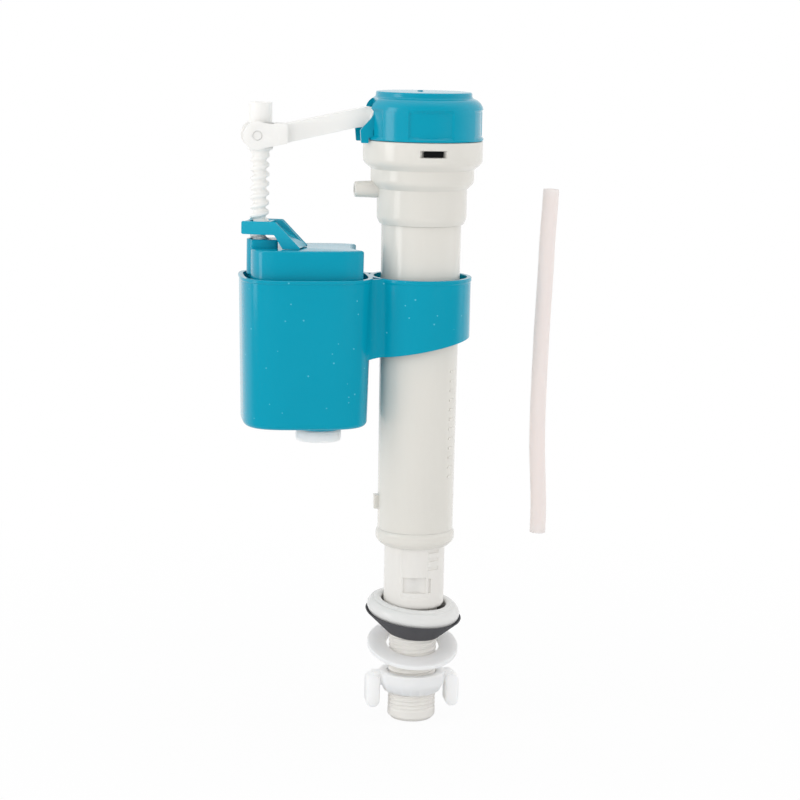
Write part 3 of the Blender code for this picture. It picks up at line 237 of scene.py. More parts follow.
def tube(
    path: Array, radius: float | Array, steps: int = SMALL_STEPS, flat_axis: Point = (0.0, 1.0, 0.0),
) -> Shell:
    """A round section carried along a path that stays near the plane square to flat_axis.

    A ring is p + r (cos a n + sin a b), with b the flat axis and n = b x tangent.

    Args:
        path: points of the centreline.
        radius: one radius, or one for each point.
        steps: columns round the section.
        flat_axis: unit vector square to the path's plane.

    Returns:
        The capped tube.
    """
    tangent = np.gradient(path, axis=0)
    tangent /= np.linalg.norm(tangent, axis=1)[:, None]
    across = np.array(flat_axis)
    normal = np.cross(across, tangent)
    normal /= np.linalg.norm(normal, axis=1)[:, None]
    side = np.cross(tangent, normal)
    angle = np.linspace(0.0, math.tau, steps, endpoint=False)
    size = np.broadcast_to(np.array(radius, float), len(path))[:, None, None]
    ring = np.cos(angle)[None, :, None] * normal[:, None] + np.sin(angle)[None, :, None] * side[:, None]
    points = (path[:, None] + size * ring).reshape(-1, 3)
    top = (np.arange(steps) + (len(path) - 1) * steps).tolist()
    return Shell(points, grid_faces(len(path), steps, False, True) + [list(range(steps))[::-1], top])


def on_side(shell: Shell) -> Shell:
    """Lays a prism on its side: its outline's (x, y) becomes (x, z) and its height becomes -y."""
    return shell.moved(Matrix.Rotation(math.pi / 2, 4, "X"))


def plates(outline: Array, inner: float, outer: float) -> Shell:
    """Two plates of one outline in (x, z), from inner to outer on both sides of the middle plane."""
    return on_side(prism(outline, inner, outer)).joined(on_side(prism(outline, -outer, -inner)))


def disc(
    x: float, radius: float, low: float, high: float, steps: int = SMALL_STEPS, edge: float = 0.0,
    y: float = 0.0,
) -> Shell:
    """A round prism whose upright axis stands at (x, y)."""
    return prism(circle(radius, steps, (x, y)), low, high, edge)


def cross_pin(x: float, z: float, half: float, radius: float, steps: int = 32) -> Shell:
    """A round pin along Y through (x, z), half on each side of the middle plane."""
    return tube(np.array([(x, -half, z), (x, half, z)]), radius, steps, (0.0, 0.0, 1.0))


def block(low: Point, high: Point, turn: float = 0.0) -> Shell:
    """A box between two corners, turned about the Z axis by an angle."""
    outline = np.array([(low[0], low[1]), (high[0], low[1]), (high[0], high[1]), (low[0], high[1])])
    return prism(outline, low[2], high[2]).moved(Matrix.Rotation(turn, 4, "Z"))


def shifted(shell: Shell, x: float) -> Shell:
    """The shell moved along X."""
    return shell.moved(Matrix.Translation((x, 0.0, 0.0)))


# Pieces: meshes, cuts and joins


def linked(name: str, data: bpy.types.ID) -> Object:
    """A new object with this data, in the scene."""
    item = bpy.data.objects.new(name, data)
    bpy.context.scene.collection.objects.link(item)
    return item


def as_piece(name: str, shell: Shell) -> Object:
    """A mesh object at the origin, with doubles merged and faces outwards.

    Args:
        name: the piece's name.
        shell: its surface, in millimetres.

    Returns:
        The linked object.
    """
    mesh = bpy.data.meshes.new(name)
    mesh.from_pydata((shell.points * MM).tolist(), [], shell.faces)
    tidy_mesh(mesh)
    return linked(name, mesh)


def tidy_mesh(mesh: bpy.types.Mesh) -> None:
    """Merges doubles, drops flat faces and turns the normals outwards.

    Args:
        mesh: changed in place.
    """
    work = bmesh.new()
    work.from_mesh(mesh)
    bmesh.ops.remove_doubles(work, verts=work.verts, dist=1e-6)
    bmesh.ops.dissolve_degenerate(work, edges=work.edges, dist=1e-7)
    bmesh.ops.recalc_face_normals(work, faces=work.faces)
    work.to_mesh(mesh)
    work.free()
    mesh.update()


def carve(piece: Object, *shells: Shell, join: bool = False) -> None:
    """Takes shells out of a piece with exact Booleans, or adds them to it.

    Args:
        piece: changed in place.
        shells: closed surfaces.
        join: adds the shells instead.
    """
    for number, shell in enumerate(shells):
        tool = as_piece(f"{piece.name}_tool_{number}", shell)
        modifier = piece.modifiers.new("carve", "BOOLEAN")
        modifier.operation = "UNION" if join else "DIFFERENCE"
        modifier.solver = "EXACT"
        modifier.object = tool
        apply_modifiers(piece)
        tool_mesh = tool.data
        bpy.data.objects.remove(tool)
        bpy.data.meshes.remove(tool_mesh)


def apply_modifiers(piece: Object) -> None:
    """Makes the piece's evaluated mesh its own and takes its modifiers away."""
    graph = bpy.context.evaluated_depsgraph_get()
    done = bpy.data.meshes.new_from_object(piece.evaluated_get(graph), depsgraph=graph)
    old = piece.data
    piece.modifiers.clear()
    piece.data = done
    done.name = piece.name
    bpy.data.meshes.remove(old)


def soften(piece: Object, width: float, segments: int = 2, angle: float = math.radians(32.0)) -> None:
    """Rounds the piece's sharp edges with a Bevel modifier, which is applied.

    Args:
        piece: changed in place.
        width: the rounding's width, in millimetres.
        segments: faces across it.
        angle: folds flatter than this stay as they are.
    """
    bevel = piece.modifiers.new("soften", "BEVEL")
    bevel.width = width * MM
    bevel.segments = segments
    bevel.limit_method = "ANGLE"
    bevel.angle_limit = angle
    bevel.use_clamp_overlap = True
    bevel.miter_outer = "MITER_ARC"
    apply_modifiers(piece)


def smooth(piece: Object) -> None:
    """Shades the piece smooth, with folds sharper than CREASE kept crisp."""
    piece.data.shade_smooth()
    piece.data.set_sharp_from_angle(angle=CREASE)


# Finishes


class Slot(Enum):
    """The record's material slots."""

    COLUMN = "column_plastic"
    ARM = "arm_plastic"
    CLEAR = "clear_plastic"
    HOSE = "soft_tube"
    TEAL = "teal_plastic"
    RUBBER = "black_rubber"


def add_node(tree: Tree, kind: str, **values: object) -> Node:
    """Adds a node and sets its properties and, by name, its inputs.

    Args:
        tree: the material's or group's tree.
        kind: the shader node's type name, less its first part "ShaderNode".
        values: property or input names with their values. A double underscore stands for a space.

    Returns:
        The new node.
    """
    node = tree.nodes.new(f"ShaderNode{kind}")
    for name, value in values.items():
        if hasattr(node, name):
            setattr(node, name, value)
        else:
            node.inputs[name.replace("__", " ")].default_value = value
    return node


def wire(tree: Tree, *links: tuple[Node, str | int, Node, str | int]) -> None:
    """Links nodes.

    Args:
        tree: the tree that they are in.
        links: for each link its node, output, node and input.
    """
    for source, output, target, socket in links:
        tree.links.new(source.outputs[output], target.inputs[socket])


def ramp(
    tree: Tree, source: Node, output: str, span: Span,
    values: Span,
) -> Node:
    """A smooth step between two values.

    Args:
        tree: the tree that it is in.
        source: the node whose output it reads.
        output: that output's name.
        span: where the step starts and ends.
        values: what it gives there.

    Returns:
        The node, with its value as "Result".
    """
    node = add_node(
        tree, "MapRange", interpolation_type="SMOOTHSTEP", From__Min=span[0], From__Max=span[1],
        To__Min=values[0], To__Max=values[1],
    )
    wire(tree, (source, output, node, "Value"))
    return node


def direct_ray(tree: Tree, path: Node) -> Node:
    """1 for a ray from the camera or through clear plastic, and 0 for the rest."""
    seen = add_node(tree, "Math", operation="ADD", use_clamp=True)
    wire(tree, (path, "Is Camera Ray", seen, 0), (path, "Is Transmission Ray", seen, 1))
    return seen


def blend(
    tree: Tree, share: Node, output: str | int, first: Node,
    second: Node,
) -> Node:
    """A mix of two shaders: the first where the share's output is 0, the second where it is 1."""
    mix = add_node(tree, "MixShader")
    wire(tree, (share, output, mix, 0), (first, 0, mix, 1), (second, 0, mix, 2))
    return mix


def new_group(name: str, inputs: dict[str, tuple[str, float]], outputs: dict[str, str]) -> Tree:
    """A shader node group with named sockets.

    Args:
        name: the group's name.
        inputs: for each input its socket type and default.
        outputs: for each output its socket type.

    Returns:
        The group, with its input and output nodes in it.
    """
    group = bpy.data.node_groups.new(name, "ShaderNodeTree")
    for label, (kind, default) in inputs.items():
        socket = group.interface.new_socket(label, in_out="INPUT", socket_type=kind)
        socket.default_value = default
    for label, kind in outputs.items():
        group.interface.new_socket(label, in_out="OUTPUT", socket_type=kind)
    group.nodes.new("NodeGroupInput")
    group.nodes.new("NodeGroupOutput")
    return group


def moulded_skin() -> Tree:
    """The surface of moulded plastic: slow swells, a fine satin grain and small specks that a finish paints
    pale, partly their own tone and partly a painted highlight on their raised tops.

    The height is the slow noise times Swell plus the fine noise times Grain. The fleck mask is
    1 where a cell of the flecks' pattern lies within Fleck of its centre.
    """
    group = new_group(
        "moulded_skin",
        {
            "Swell": ("NodeSocketFloat", 0.6), "Grain": ("NodeSocketFloat", 0.1),
            "Fleck": ("NodeSocketFloat", 0.0),
        },
        {"Height": "NodeSocketFloat", "Cloud": "NodeSocketFloat", "Flecks": "NodeSocketFloat"},
    )
    inlet, outlet = group.nodes["Group Input"], group.nodes["Group Output"]
    place = add_node(group, "TexCoord")
    slow = add_node(group, "TexNoise", Scale=SWELL_SCALE, Detail=2.0)
    fine = add_node(group, "TexNoise", Scale=GRAIN_SCALE, Detail=2.0)
    cloud = add_node(group, "TexNoise", Scale=CLOUD_SCALE, Detail=3.0)
    cells = add_node(group, "TexVoronoi", Scale=FLECK_SCALE, Randomness=1.0)
    swell = add_node(group, "Math", operation="MULTIPLY")
    height = add_node(group, "Math", operation="MULTIPLY_ADD")
    fleck = add_node(group, "Math", operation="LESS_THAN")
    wire(
        group, *((place, "Object", texture, "Vector") for texture in (slow, fine, cloud, cells)),
        (slow, "Fac", swell, 0), (inlet, "Swell", swell, 1),
        (fine, "Fac", height, 0), (inlet, "Grain", height, 1), (swell, 0, height, 2),
        (cells, "Distance", fleck, 0), (inlet, "Fleck", fleck, 1),
        (height, 0, outlet, "Height"), (cloud, "Fac", outlet, "Cloud"), (fleck, 0, outlet, "Flecks"),
    )
    return group


@dataclass(frozen=True)
class Finish:
    """One plastic or rubber: its tones, gloss and the skin that moulding leaves on it.

    Swell, grain and fleck go to the skin, and relief is how strongly its height shows. Milk is the
    share of light that passes under the surface, milk_depth deep.
    """

    name: str
    slot: Slot
    colour: Point
    shade: Point
    roughness: float
    swell: float = 0.5
    grain: float = 0.08
    fleck: float = 0.0
    # Colour of the specks: partly their own pale tone, partly a painted highlight standing in for the glint on
    # their raised tops.
    fleck_glint_colour: Point = (0.6, 0.75, 0.8)
    relief: float = 0.25
    milk: float = 0.0
    milk_depth: float = 2.0 * MM
    specular: float = 0.5

    def material(self) -> bpy.types.Material:
        """The material, built once and then found by its name.

        Returns:
            A Principled material whose colour runs between the two tones with the cloud mask.
        """
        known = bpy.data.materials.get(self.name)
        if known is not None:
            return known
        material = bpy.data.materials.new(self.name)
        material.use_nodes = True
        tree = material.node_tree
        shader = tree.nodes["Principled BSDF"]
        skin = add_node(
            tree, "Group", node_tree=SKIN, Swell=self.swell, Grain=self.grain, Fleck=self.fleck,
        )
        tone = add_node(tree, "Mix", data_type="RGBA")
        tone.inputs["A"].default_value = (*self.shade, 1.0)
        tone.inputs["B"].default_value = (*self.colour, 1.0)
        spots = add_node(tree, "Mix", data_type="RGBA")
        spots.inputs["B"].default_value = (*self.fleck_glint_colour, 1.0)
        rough = add_node(
            tree, "MapRange", To__Min=self.roughness * (1 - GLOSS_SPREAD),
            To__Max=self.roughness * (1 + GLOSS_SPREAD),
        )
        relief = add_node(tree, "Bump", Strength=self.relief, Distance=RELIEF_DEPTH)
        wire(
            tree, (skin, "Cloud", tone, "Factor"), (tone, "Result", spots, "A"),
            (skin, "Flecks", spots, "Factor"), (spots, "Result", shader, "Base Color"),
            (skin, "Cloud", rough, "Value"), (rough, "Result", shader, "Roughness"),
            (skin, "Height", relief, "Height"), (relief, "Normal", shader, "Normal"),
        )
        for label, value in (
            ("Subsurface Weight", self.milk), ("Subsurface Radius", MILK_RADIUS),
            ("Subsurface Scale", self.milk_depth), ("Specular IOR Level", self.specular),
        ):
            shader.inputs[label].default_value = value
        return material


SKIN = moulded_skin()
COLUMN_WHITE = Finish("column_white", Slot.COLUMN, (0.77, 0.75, 0.70), (0.74, 0.72, 0.67), 0.16, milk=0.15)
# Painted light: a lighter copy of the column's white for the shank and riser, standing in for the brighter
# light low on the valve.
SHANK_PAINTED_LIGHT_WHITE = Finish("shank_white_painted_light", Slot.COLUMN, (0.83, 0.81, 0.775), (0.80, 0.78, 0.745), 0.3, milk=0.2)
ARM_WHITE = Finish("arm_white", Slot.ARM, (0.92, 0.91, 0.885), (0.89, 0.88, 0.855), 0.34, milk=0.25)
# Painted shade: a darker, greyer copy of the arm's white for the pressing ring, standing in for the shade on
# it.
RING_PAINTED_SHADE_WHITE = Finish("ring_white_painted_shade", Slot.ARM, (0.78, 0.78, 0.765), (0.75, 0.75, 0.735), 0.2, milk=0.15)
MILKY = Finish(
    "milky_clear", Slot.CLEAR, (0.985, 0.98, 0.965), (0.97, 0.965, 0.95), 0.36, milk=1.0, milk_depth=7.0 * MM,
)
HOSE_SILICONE = Finish(
    "hose_silicone", Slot.HOSE, (0.87, 0.80, 0.775), (0.84, 0.765, 0.74), 0.42, milk=0.5, milk_depth=3.0 * MM,
)
TEAL = Finish("teal_gloss", Slot.TEAL, (0.001, 0.335, 0.48), (0.001, 0.315, 0.455), 0.15, specular=0.36)
# Painted light: a lighter copy of the teal for the float's clip, standing in for the light that shows through
# its thin edges.
TEAL_CLIP_PAINTED_LIGHT = replace(TEAL, name="teal_clip_painted_light", colour=(0.012, 0.38, 0.53), shade=(0.01, 0.36, 0.505))
# The cup's specks are painted paler, partly their own tone and partly a painted highlight on raised droplets.
TEAL_SPECKS_AND_GLINTS = replace(TEAL, name="teal_specks_and_glints", fleck=0.085, fleck_glint_colour=(0.09, 0.50, 0.62))
BLACK_RUBBER = Finish(
    "black_rubber", Slot.RUBBER, (0.028, 0.028, 0.030), (0.023, 0.023, 0.025), 0.42, grain=0.3, specular=0.35,
)
FLAP_RUBBER = Finish(
    "flap_rubber", Slot.RUBBER, (0.008, 0.008, 0.009), (0.006, 0.006, 0.007), 0.6, specular=0.15,
)


def place(piece: Object, body: str, finish: Finish, *nodes: str) -> None:
    """Finishes a piece: its material, its body and the solids that it stands for.

    Args:
        piece: the finished mesh or curve.
        body: the CAD body that it rides on.
        finish: its look.
        nodes: the CAD nodes that it replaces.
    """
    if piece.type == "MESH":
        smooth(piece)
    piece.data.materials.clear()
    piece.data.materials.append(finish.material())
    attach(piece, body)
    if nodes:
        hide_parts(*nodes)
    log.info("%s rides on %s and stands for %s", piece.name, body, ", ".join(nodes) or "no solid")


def dress(node: str, finish: Finish) -> None:
    """Gives a CAD node that stays its finish."""
    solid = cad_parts[node]
    solid.data.materials.clear()
    solid.data.materials.append(finish.material())
    log.info("%s keeps its solid", node)


# Stage


@dataclass
class Studio:
    """The photograph's camera, a white floor and soft lamps.

    The angles are the camera's, pan being how far it looks past the column's axis. Each fade gives
    the two places, or for the sky the two directions, between which a brightness changes.
    """

    azimuth: float = math.radians(-8.5)
    pan: float = math.radians(0.432)
    pitch: float = math.radians(9.50)
    roll: float = math.radians(1.15)
    distance: float = 1.014
    height: float = 0.270
    lens: float = 106.3
    sensor: float = 36.0
    clip: Span = (0.05, 50.0)
    aim: Point = (-0.01, 0.0, 0.1)
    floor: float = -42.2 * MM
    floor_size: float = 6.0
    floor_share: float = 0.93
    floor_fade: Span = (0.05, 0.45)
    paper: float = 0.92
    sky: float = 0.66
    dim: float = 0.1
    room_fade: Span = (-0.15, 0.25)
    sky_fade: Span = (-0.9, 0.2)

    def camera(self) -> None:
        """Stands the camera where the photograph was taken from.

        It looks along (-sin a cos p, cos a cos p, -sin p), then rolls about that line.
        """
        turn = self.azimuth + self.pan
        ahead = Vector((
            -math.sin(turn) * math.cos(self.pitch), math.cos(turn) * math.cos(self.pitch),
            -math.sin(self.pitch),
        ))
        level = Vector((math.cos(turn), math.sin(turn), 0.0))
        up = level.cross(ahead)
        right = math.cos(self.roll) * level + math.sin(self.roll) * up
        data = bpy.data.cameras.new("camera")
        data.lens = self.lens
        data.sensor_width = self.sensor
        data.clip_start, data.clip_end = self.clip
        camera = linked("camera", data)
        axes = Matrix((right, right.cross(ahead), -ahead)).transposed()
        where = Vector((
            self.distance * math.sin(self.azimuth), -self.distance * math.cos(self.azimuth), self.height,
        ))
        camera.matrix_world = Matrix.Translation(where) @ axes.to_4x4()
        bpy.context.scene.camera = camera

    def lamp(self, name: str, where: Point, size: Span, watts: float, shines: bool = False) -> None:
        """A soft rectangular lamp that faces the middle of the valve.

        Args:
            name: its name.
            where: its middle.
            size: width and height of its face.
            watts: its power.
            shines: whether gloss mirrors it.
        """
        data = bpy.data.lights.new(name, "AREA")
        data.shape = "RECTANGLE"
        data.size, data.size_y = size
        data.energy = watts
        lamp = linked(name, data)
        lamp.rotation_euler = (Vector(self.aim) - Vector(where)).to_track_quat("-Z", "Y").to_euler()
        lamp.location = where
        lamp.visible_glossy = shines

    def stage(self) -> None:
        """The floor: white to the camera, with some shadow near the valve, and dim to gloss in front."""
        half = self.floor_size / 2
        corners = np.array([(-half, -half), (half, -half), (half, half), (-half, half)])
        mesh = bpy.data.meshes.new("floor")
        level = np.full((4, 1), self.floor)
        mesh.from_pydata(np.concatenate([corners, level], axis=1).tolist(), [], [[0, 1, 2, 3]])
        floor = linked("floor", mesh)
        material = bpy.data.materials.new("floor_white")
        material.use_nodes = True
        tree = material.node_tree
        tree.nodes.clear()
        paper = add_node(tree, "BsdfDiffuse", Color=(self.paper, self.paper, self.paper, 1.0))
        glow = add_node(tree, "Emission", Color=WHITE, Strength=1.0)
        room = add_node(tree, "Emission", Color=WHITE)
        path = add_node(tree, "LightPath")
        spot = add_node(tree, "NewGeometry")
        away = add_node(tree, "VectorMath", operation="LENGTH")
        depth = add_node(tree, "SeparateXYZ")
        share = ramp(tree, away, "Value", self.floor_fade, (self.floor_share, 1.0))
        front = ramp(tree, depth, "Y", self.room_fade, (self.dim, 1.0))
        lit = add_node(tree, "Math", operation="MULTIPLY")
        plain = blend(tree, lit, 0, paper, glow)
        mix = blend(tree, path, "Is Glossy Ray", plain, room)
        outlet = add_node(tree, "OutputMaterial")
        wire(
            tree, (spot, "Position", away, 0), (spot, "Position", depth, 0),
            (front, "Result", room, "Strength"), (direct_ray(tree, path), 0, lit, 0),
            (share, "Result", lit, 1), (mix, 0, outlet, "Surface"),
        )
        mesh.materials.append(material)

    def sky_light(self) -> None:
        """The world: white to the camera, a plain level as light, and for gloss a dim front.

        A glossy ray meets white behind the valve and the dim room in front of it, and the change
        runs evenly with the ray's y.
        """
        world = bpy.data.worlds.new("studio")
        bpy.context.scene.world = world
        world.use_nodes = True
        tree = world.node_tree
        tree.nodes.clear()
        plain = add_node(tree, "Background", Color=WHITE, Strength=self.sky)
        white = add_node(tree, "Background", Color=WHITE, Strength=1.0)
        room = add_node(tree, "Background", Color=WHITE)
        way = add_node(tree, "TexCoord")
        parts = add_node(tree, "SeparateXYZ")
        level = ramp(tree, parts, "Y", self.sky_fade, (self.dim, 1.0))
        path = add_node(tree, "LightPath")
        gloss = blend(tree, path, "Is Glossy Ray", plain, room)
        mix = blend(tree, direct_ray(tree, path), 0, gloss, white)
        outlet = add_node(tree, "OutputWorld")
        wire(
            tree, (way, "Generated", parts, 0), (level, "Result", room, "Strength"),
            (mix, 0, outlet, "Surface"),
        )

    def build(self) -> None:
        """Sets the whole stage."""
        bpy.context.scene.view_settings.view_transform = "Standard"
        self.camera()
        self.stage()
        self.sky_light()
        self.lamp("left_front", (-0.75, -0.95, 0.40), (0.6, 0.9), 2.3)
        self.lamp("right_front", (0.70, -1.00, 0.30), (0.6, 0.9), 2.5)
        self.lamp("top", (0.0, 0.1, 1.1), (0.7, 0.7), 2.0)
        self.lamp("left_box", (-1.03, -0.28, 0.35), (0.36, 0.9), 2.6, True)
        self.lamp("right_side", (1.10, -0.15, 0.30), (0.6, 1.0), 1.6)
        log.info("stage set")


# Loose refill hose


@dataclass
class RefillHose:
    """The soft hose that stands apart from the valve, cut square at both ends."""

    radius: float = 3.45
    length: float = 152.0
    wall: float = 1.1
    mouth: float = 3.0
    route: tuple[Span, ...] = (
        (56.5, 192.7), (56.2, 186.0), (55.8, 178.8), (55.4, 171.0), (55.1, 157.8), (54.6, 144.6),
        (54.1, 131.4), (53.8, 118.1), (53.5, 104.7), (53.4, 91.3), (53.6, 77.8), (54.4, 64.3),
        (54.9, 55.2), (55.0, 48.0), (54.8, 41.1),
    )

    def centreline(self, samples: int = 57) -> Array:
        """Points along the route, spaced evenly by length and eased with a three-point mean.

        Args:
            samples: number of points.

        Returns:
            Points (x, 0, z).
        """
        corner = np.array(self.route)
        run = np.concatenate([[0.0], np.cumsum(np.linalg.norm(np.diff(corner, axis=0), axis=1))])
        at = np.linspace(0.0, run[-1], samples)
        line = np.stack([np.interp(at, run, corner[:, 0]), 0 * at, np.interp(at, run, corner[:, 1])], axis=1)
        line[1:-1] = (line[:-2] + line[1:-1] + line[2:]) / 3
        return line

    def build(self) -> None:
        line = self.centreline()
        hose = as_piece("refill_hose", tube(line, self.radius, 48))
        bore = self.radius - self.wall
        for index, tip in enumerate((line[0], line[-1])):
            away = (line[0] - line[1]) if index == 0 else (line[-1] - line[-2])
            away = away / np.linalg.norm(away)
            steps = np.linspace(-self.mouth, self.mouth, 8)[:, None]
            carve(hose, tube(tip + away * steps, bore, 32))
        soften(hose, 0.15)
        place(hose, "root", HOSE_SILICONE, "refill_tube")


# Column


def leaning(shell: Shell, slopes: Span) -> Shell:
    """The shell sheared upright: z grows by slope_x x + slope_y y."""
    points = shell.points.copy()
    points[:, 2] += points[:, :2] @ np.array(slopes)
    return Shell(points, shell.faces)


def thread(pitch: float, depth: float, low: float, high: float, flat: float = 0.3) -> Wave:
    """A right-hand thread as a change of radius.

    With u = (z / pitch - a / turn) less its whole part, a point at the crest (u = 0.5) keeps its
    radius and one at the root loses the depth. The flank runs straight between two flats, and the
    groove fades out within one pitch of both ends.

    Args:
        pitch: rise in one turn.
        depth: radius at the crest less radius at the root.
        low: height where the thread starts.
        high: height where it ends.
        flat: share of the pitch that is crest or root.

    Returns:
        The function for turned().
    """
    def wave(angle: Array, height: Array) -> Array:
        """The change of radius at each angle and height."""
        phase = np.mod(height / pitch - angle / math.tau, 1.0)
        slope = np.abs(2.0 * phase - 1.0)
        ridge = np.clip((1.0 - slope - flat / 2) / (1.0 - flat), 0.0, 1.0)
        fade = np.clip((height - low) / pitch, 0.0, 1.0) * np.clip((high - height) / pitch, 0.0, 1.0)
        return -depth * (1.0 - ridge) * fade
    return wave


def filled(profile: Array, low: float, high: float, step: float) -> Array:
    """A profile with extra points on its outer side between two heights, for a thread to show.

    Args:
        profile: closed loop of (radius, height) whose outer side runs downwards.
        low: lowest height to fill.
        high: highest height to fill.
        step: greatest distance between points there.

    Returns:
        The profile with points added by straight lines between its own.
    """
    following = np.roll(profile, -1, axis=0)
    rows = []
    for here, there in zip(profile, following):
        rows.append(here[None])
        if here[1] > there[1] and min(here[1], high) > max(there[1], low):
            count = max(int((here[1] - there[1]) / step), 1)
            share = np.linspace(0.0, 1.0, count + 1)[1:-1, None]
            rows.append(here + (there - here) * share)
    return np.concatenate(rows)


@dataclass
class InletShank:
    """The threaded shank and the riser above it, with the pocket and the rack of the lock."""

    shank_radius: float = 10.4775
    shank_end: float = -42.0
    chamfer: float = 1.6
    bore: float = 7.25
    pitch: float = 1.814
    thread_depth: float = 0.6
    thread_flat: float = 0.45
    turn_points: int = 10
    columns: int = 192
    thread_top: float = 1.0
    thread_low: float = -38.0
    panel: Span = (14.5, 36.0)
    panel_half: float = math.radians(26.0)
    panel_depth: float = 0.3
    notch: tuple[float, float, float] = (1.3, 6.4, 0.6)
    notch_turn: float = math.radians(23.0)
    riser_radius: float = 13.2
    riser_bore: float = 11.2
    foot: float = 10.0
    foot_round: float = 2.0
    step: float = 14.0
    top: float = 128.0
    bearing_radius: float = 14.8
    bearing_low: float = 122.0
    pocket: Span = (10.0, 7.0)
    pocket_low: float = 17.0
    pocket_depth: float = 1.75
    pocket_turn: float = math.radians(-7.0)
    rack: Span = (6.0, 1.7)
    rack_low: float = 27.0
    rack_pitch: float = 3.8
    rack_count: int = 16
    rack_depth: float = 0.55
    rack_turn: float = math.radians(31.0)

    def body(self) -> Shell:
        """The turned body: bearing, riser, rounded foot and threaded shank, hollow throughout."""
        corners = [
            (self.bearing_radius, self.top), (self.bearing_radius, self.bearing_low),
            (self.riser_radius, self.bearing_low - self.chamfer), (self.riser_radius, self.foot),
            (self.shank_radius, self.foot - 1.4), (self.shank_radius, self.shank_end + self.chamfer),
            (self.shank_radius - self.chamfer, self.shank_end), (self.bore, self.shank_end),
            (self.bore, self.step), (self.riser_bore, self.step), (self.riser_bore, self.top),
        ]
        edge = [0.3, 0.5, 0.3, self.foot_round] + [0.3] * 7
        profile = filled(rounded(corners, edge), self.shank_end, self.thread_top, self.pitch / self.turn_points)
        profile = filled(profile, self.foot, self.panel[1] + PAST, 0.5)
        screw = thread(self.pitch, self.thread_depth, self.thread_low, self.thread_top, self.thread_flat)
        low, high = self.panel
        middle = self.pocket_turn - math.pi / 2

        def wave(angle: Array, height: Array) -> Array:
            """The thread, and a shallow panel where the lock's pocket and the height stops are."""
            offset = np.abs(np.mod(angle - middle + math.pi, math.tau) - math.pi)
            inside = (offset < self.panel_half) * (height > low) * (height < high)
            return screw(angle, height) - self.panel_depth * inside
        return turned(profile, self.columns, wave)

    def lock_cuts(self) -> list[Shell]:
        """The pocket in front and the rack of grooves beside it."""
        half, front = self.pocket[0] / 2, -self.riser_radius
        pocket = block(
            (-half, front - PAST, self.pocket_low),
            (half, front + self.pocket_depth, self.pocket_low + self.pocket[1]), self.pocket_turn,
        )
        half = self.rack[0] / 2
        grooves = [
            block(
                (-half, front - PAST, low), (half, front + self.rack_depth, low + self.rack[1]), self.rack_turn,
            )
            for low in self.rack_low + np.arange(self.rack_count) * self.rack_pitch
        ]
        width, height, depth = self.notch
        notch = block(
            (-width / 2, front - PAST, self.pocket_low), (width / 2, front + depth, self.pocket_low + height),
            self.notch_turn,
        )
        return [pocket.joined(*grooves), notch]

    def build(self) -> None:
        """Makes the shank and dresses the filter and restrictor that its bore holds."""
        shank = as_piece("threaded_riser", self.body())
        carve(shank, *self.lock_cuts())
        # The shank's white is painted lighter to stand in for the light that falls low on the valve.
        place(shank, "root", SHANK_PAINTED_LIGHT_WHITE, "riser_shank")
        dress("inlet_filter", MILKY)
        dress("flow_restrictor", BLACK_RUBBER)


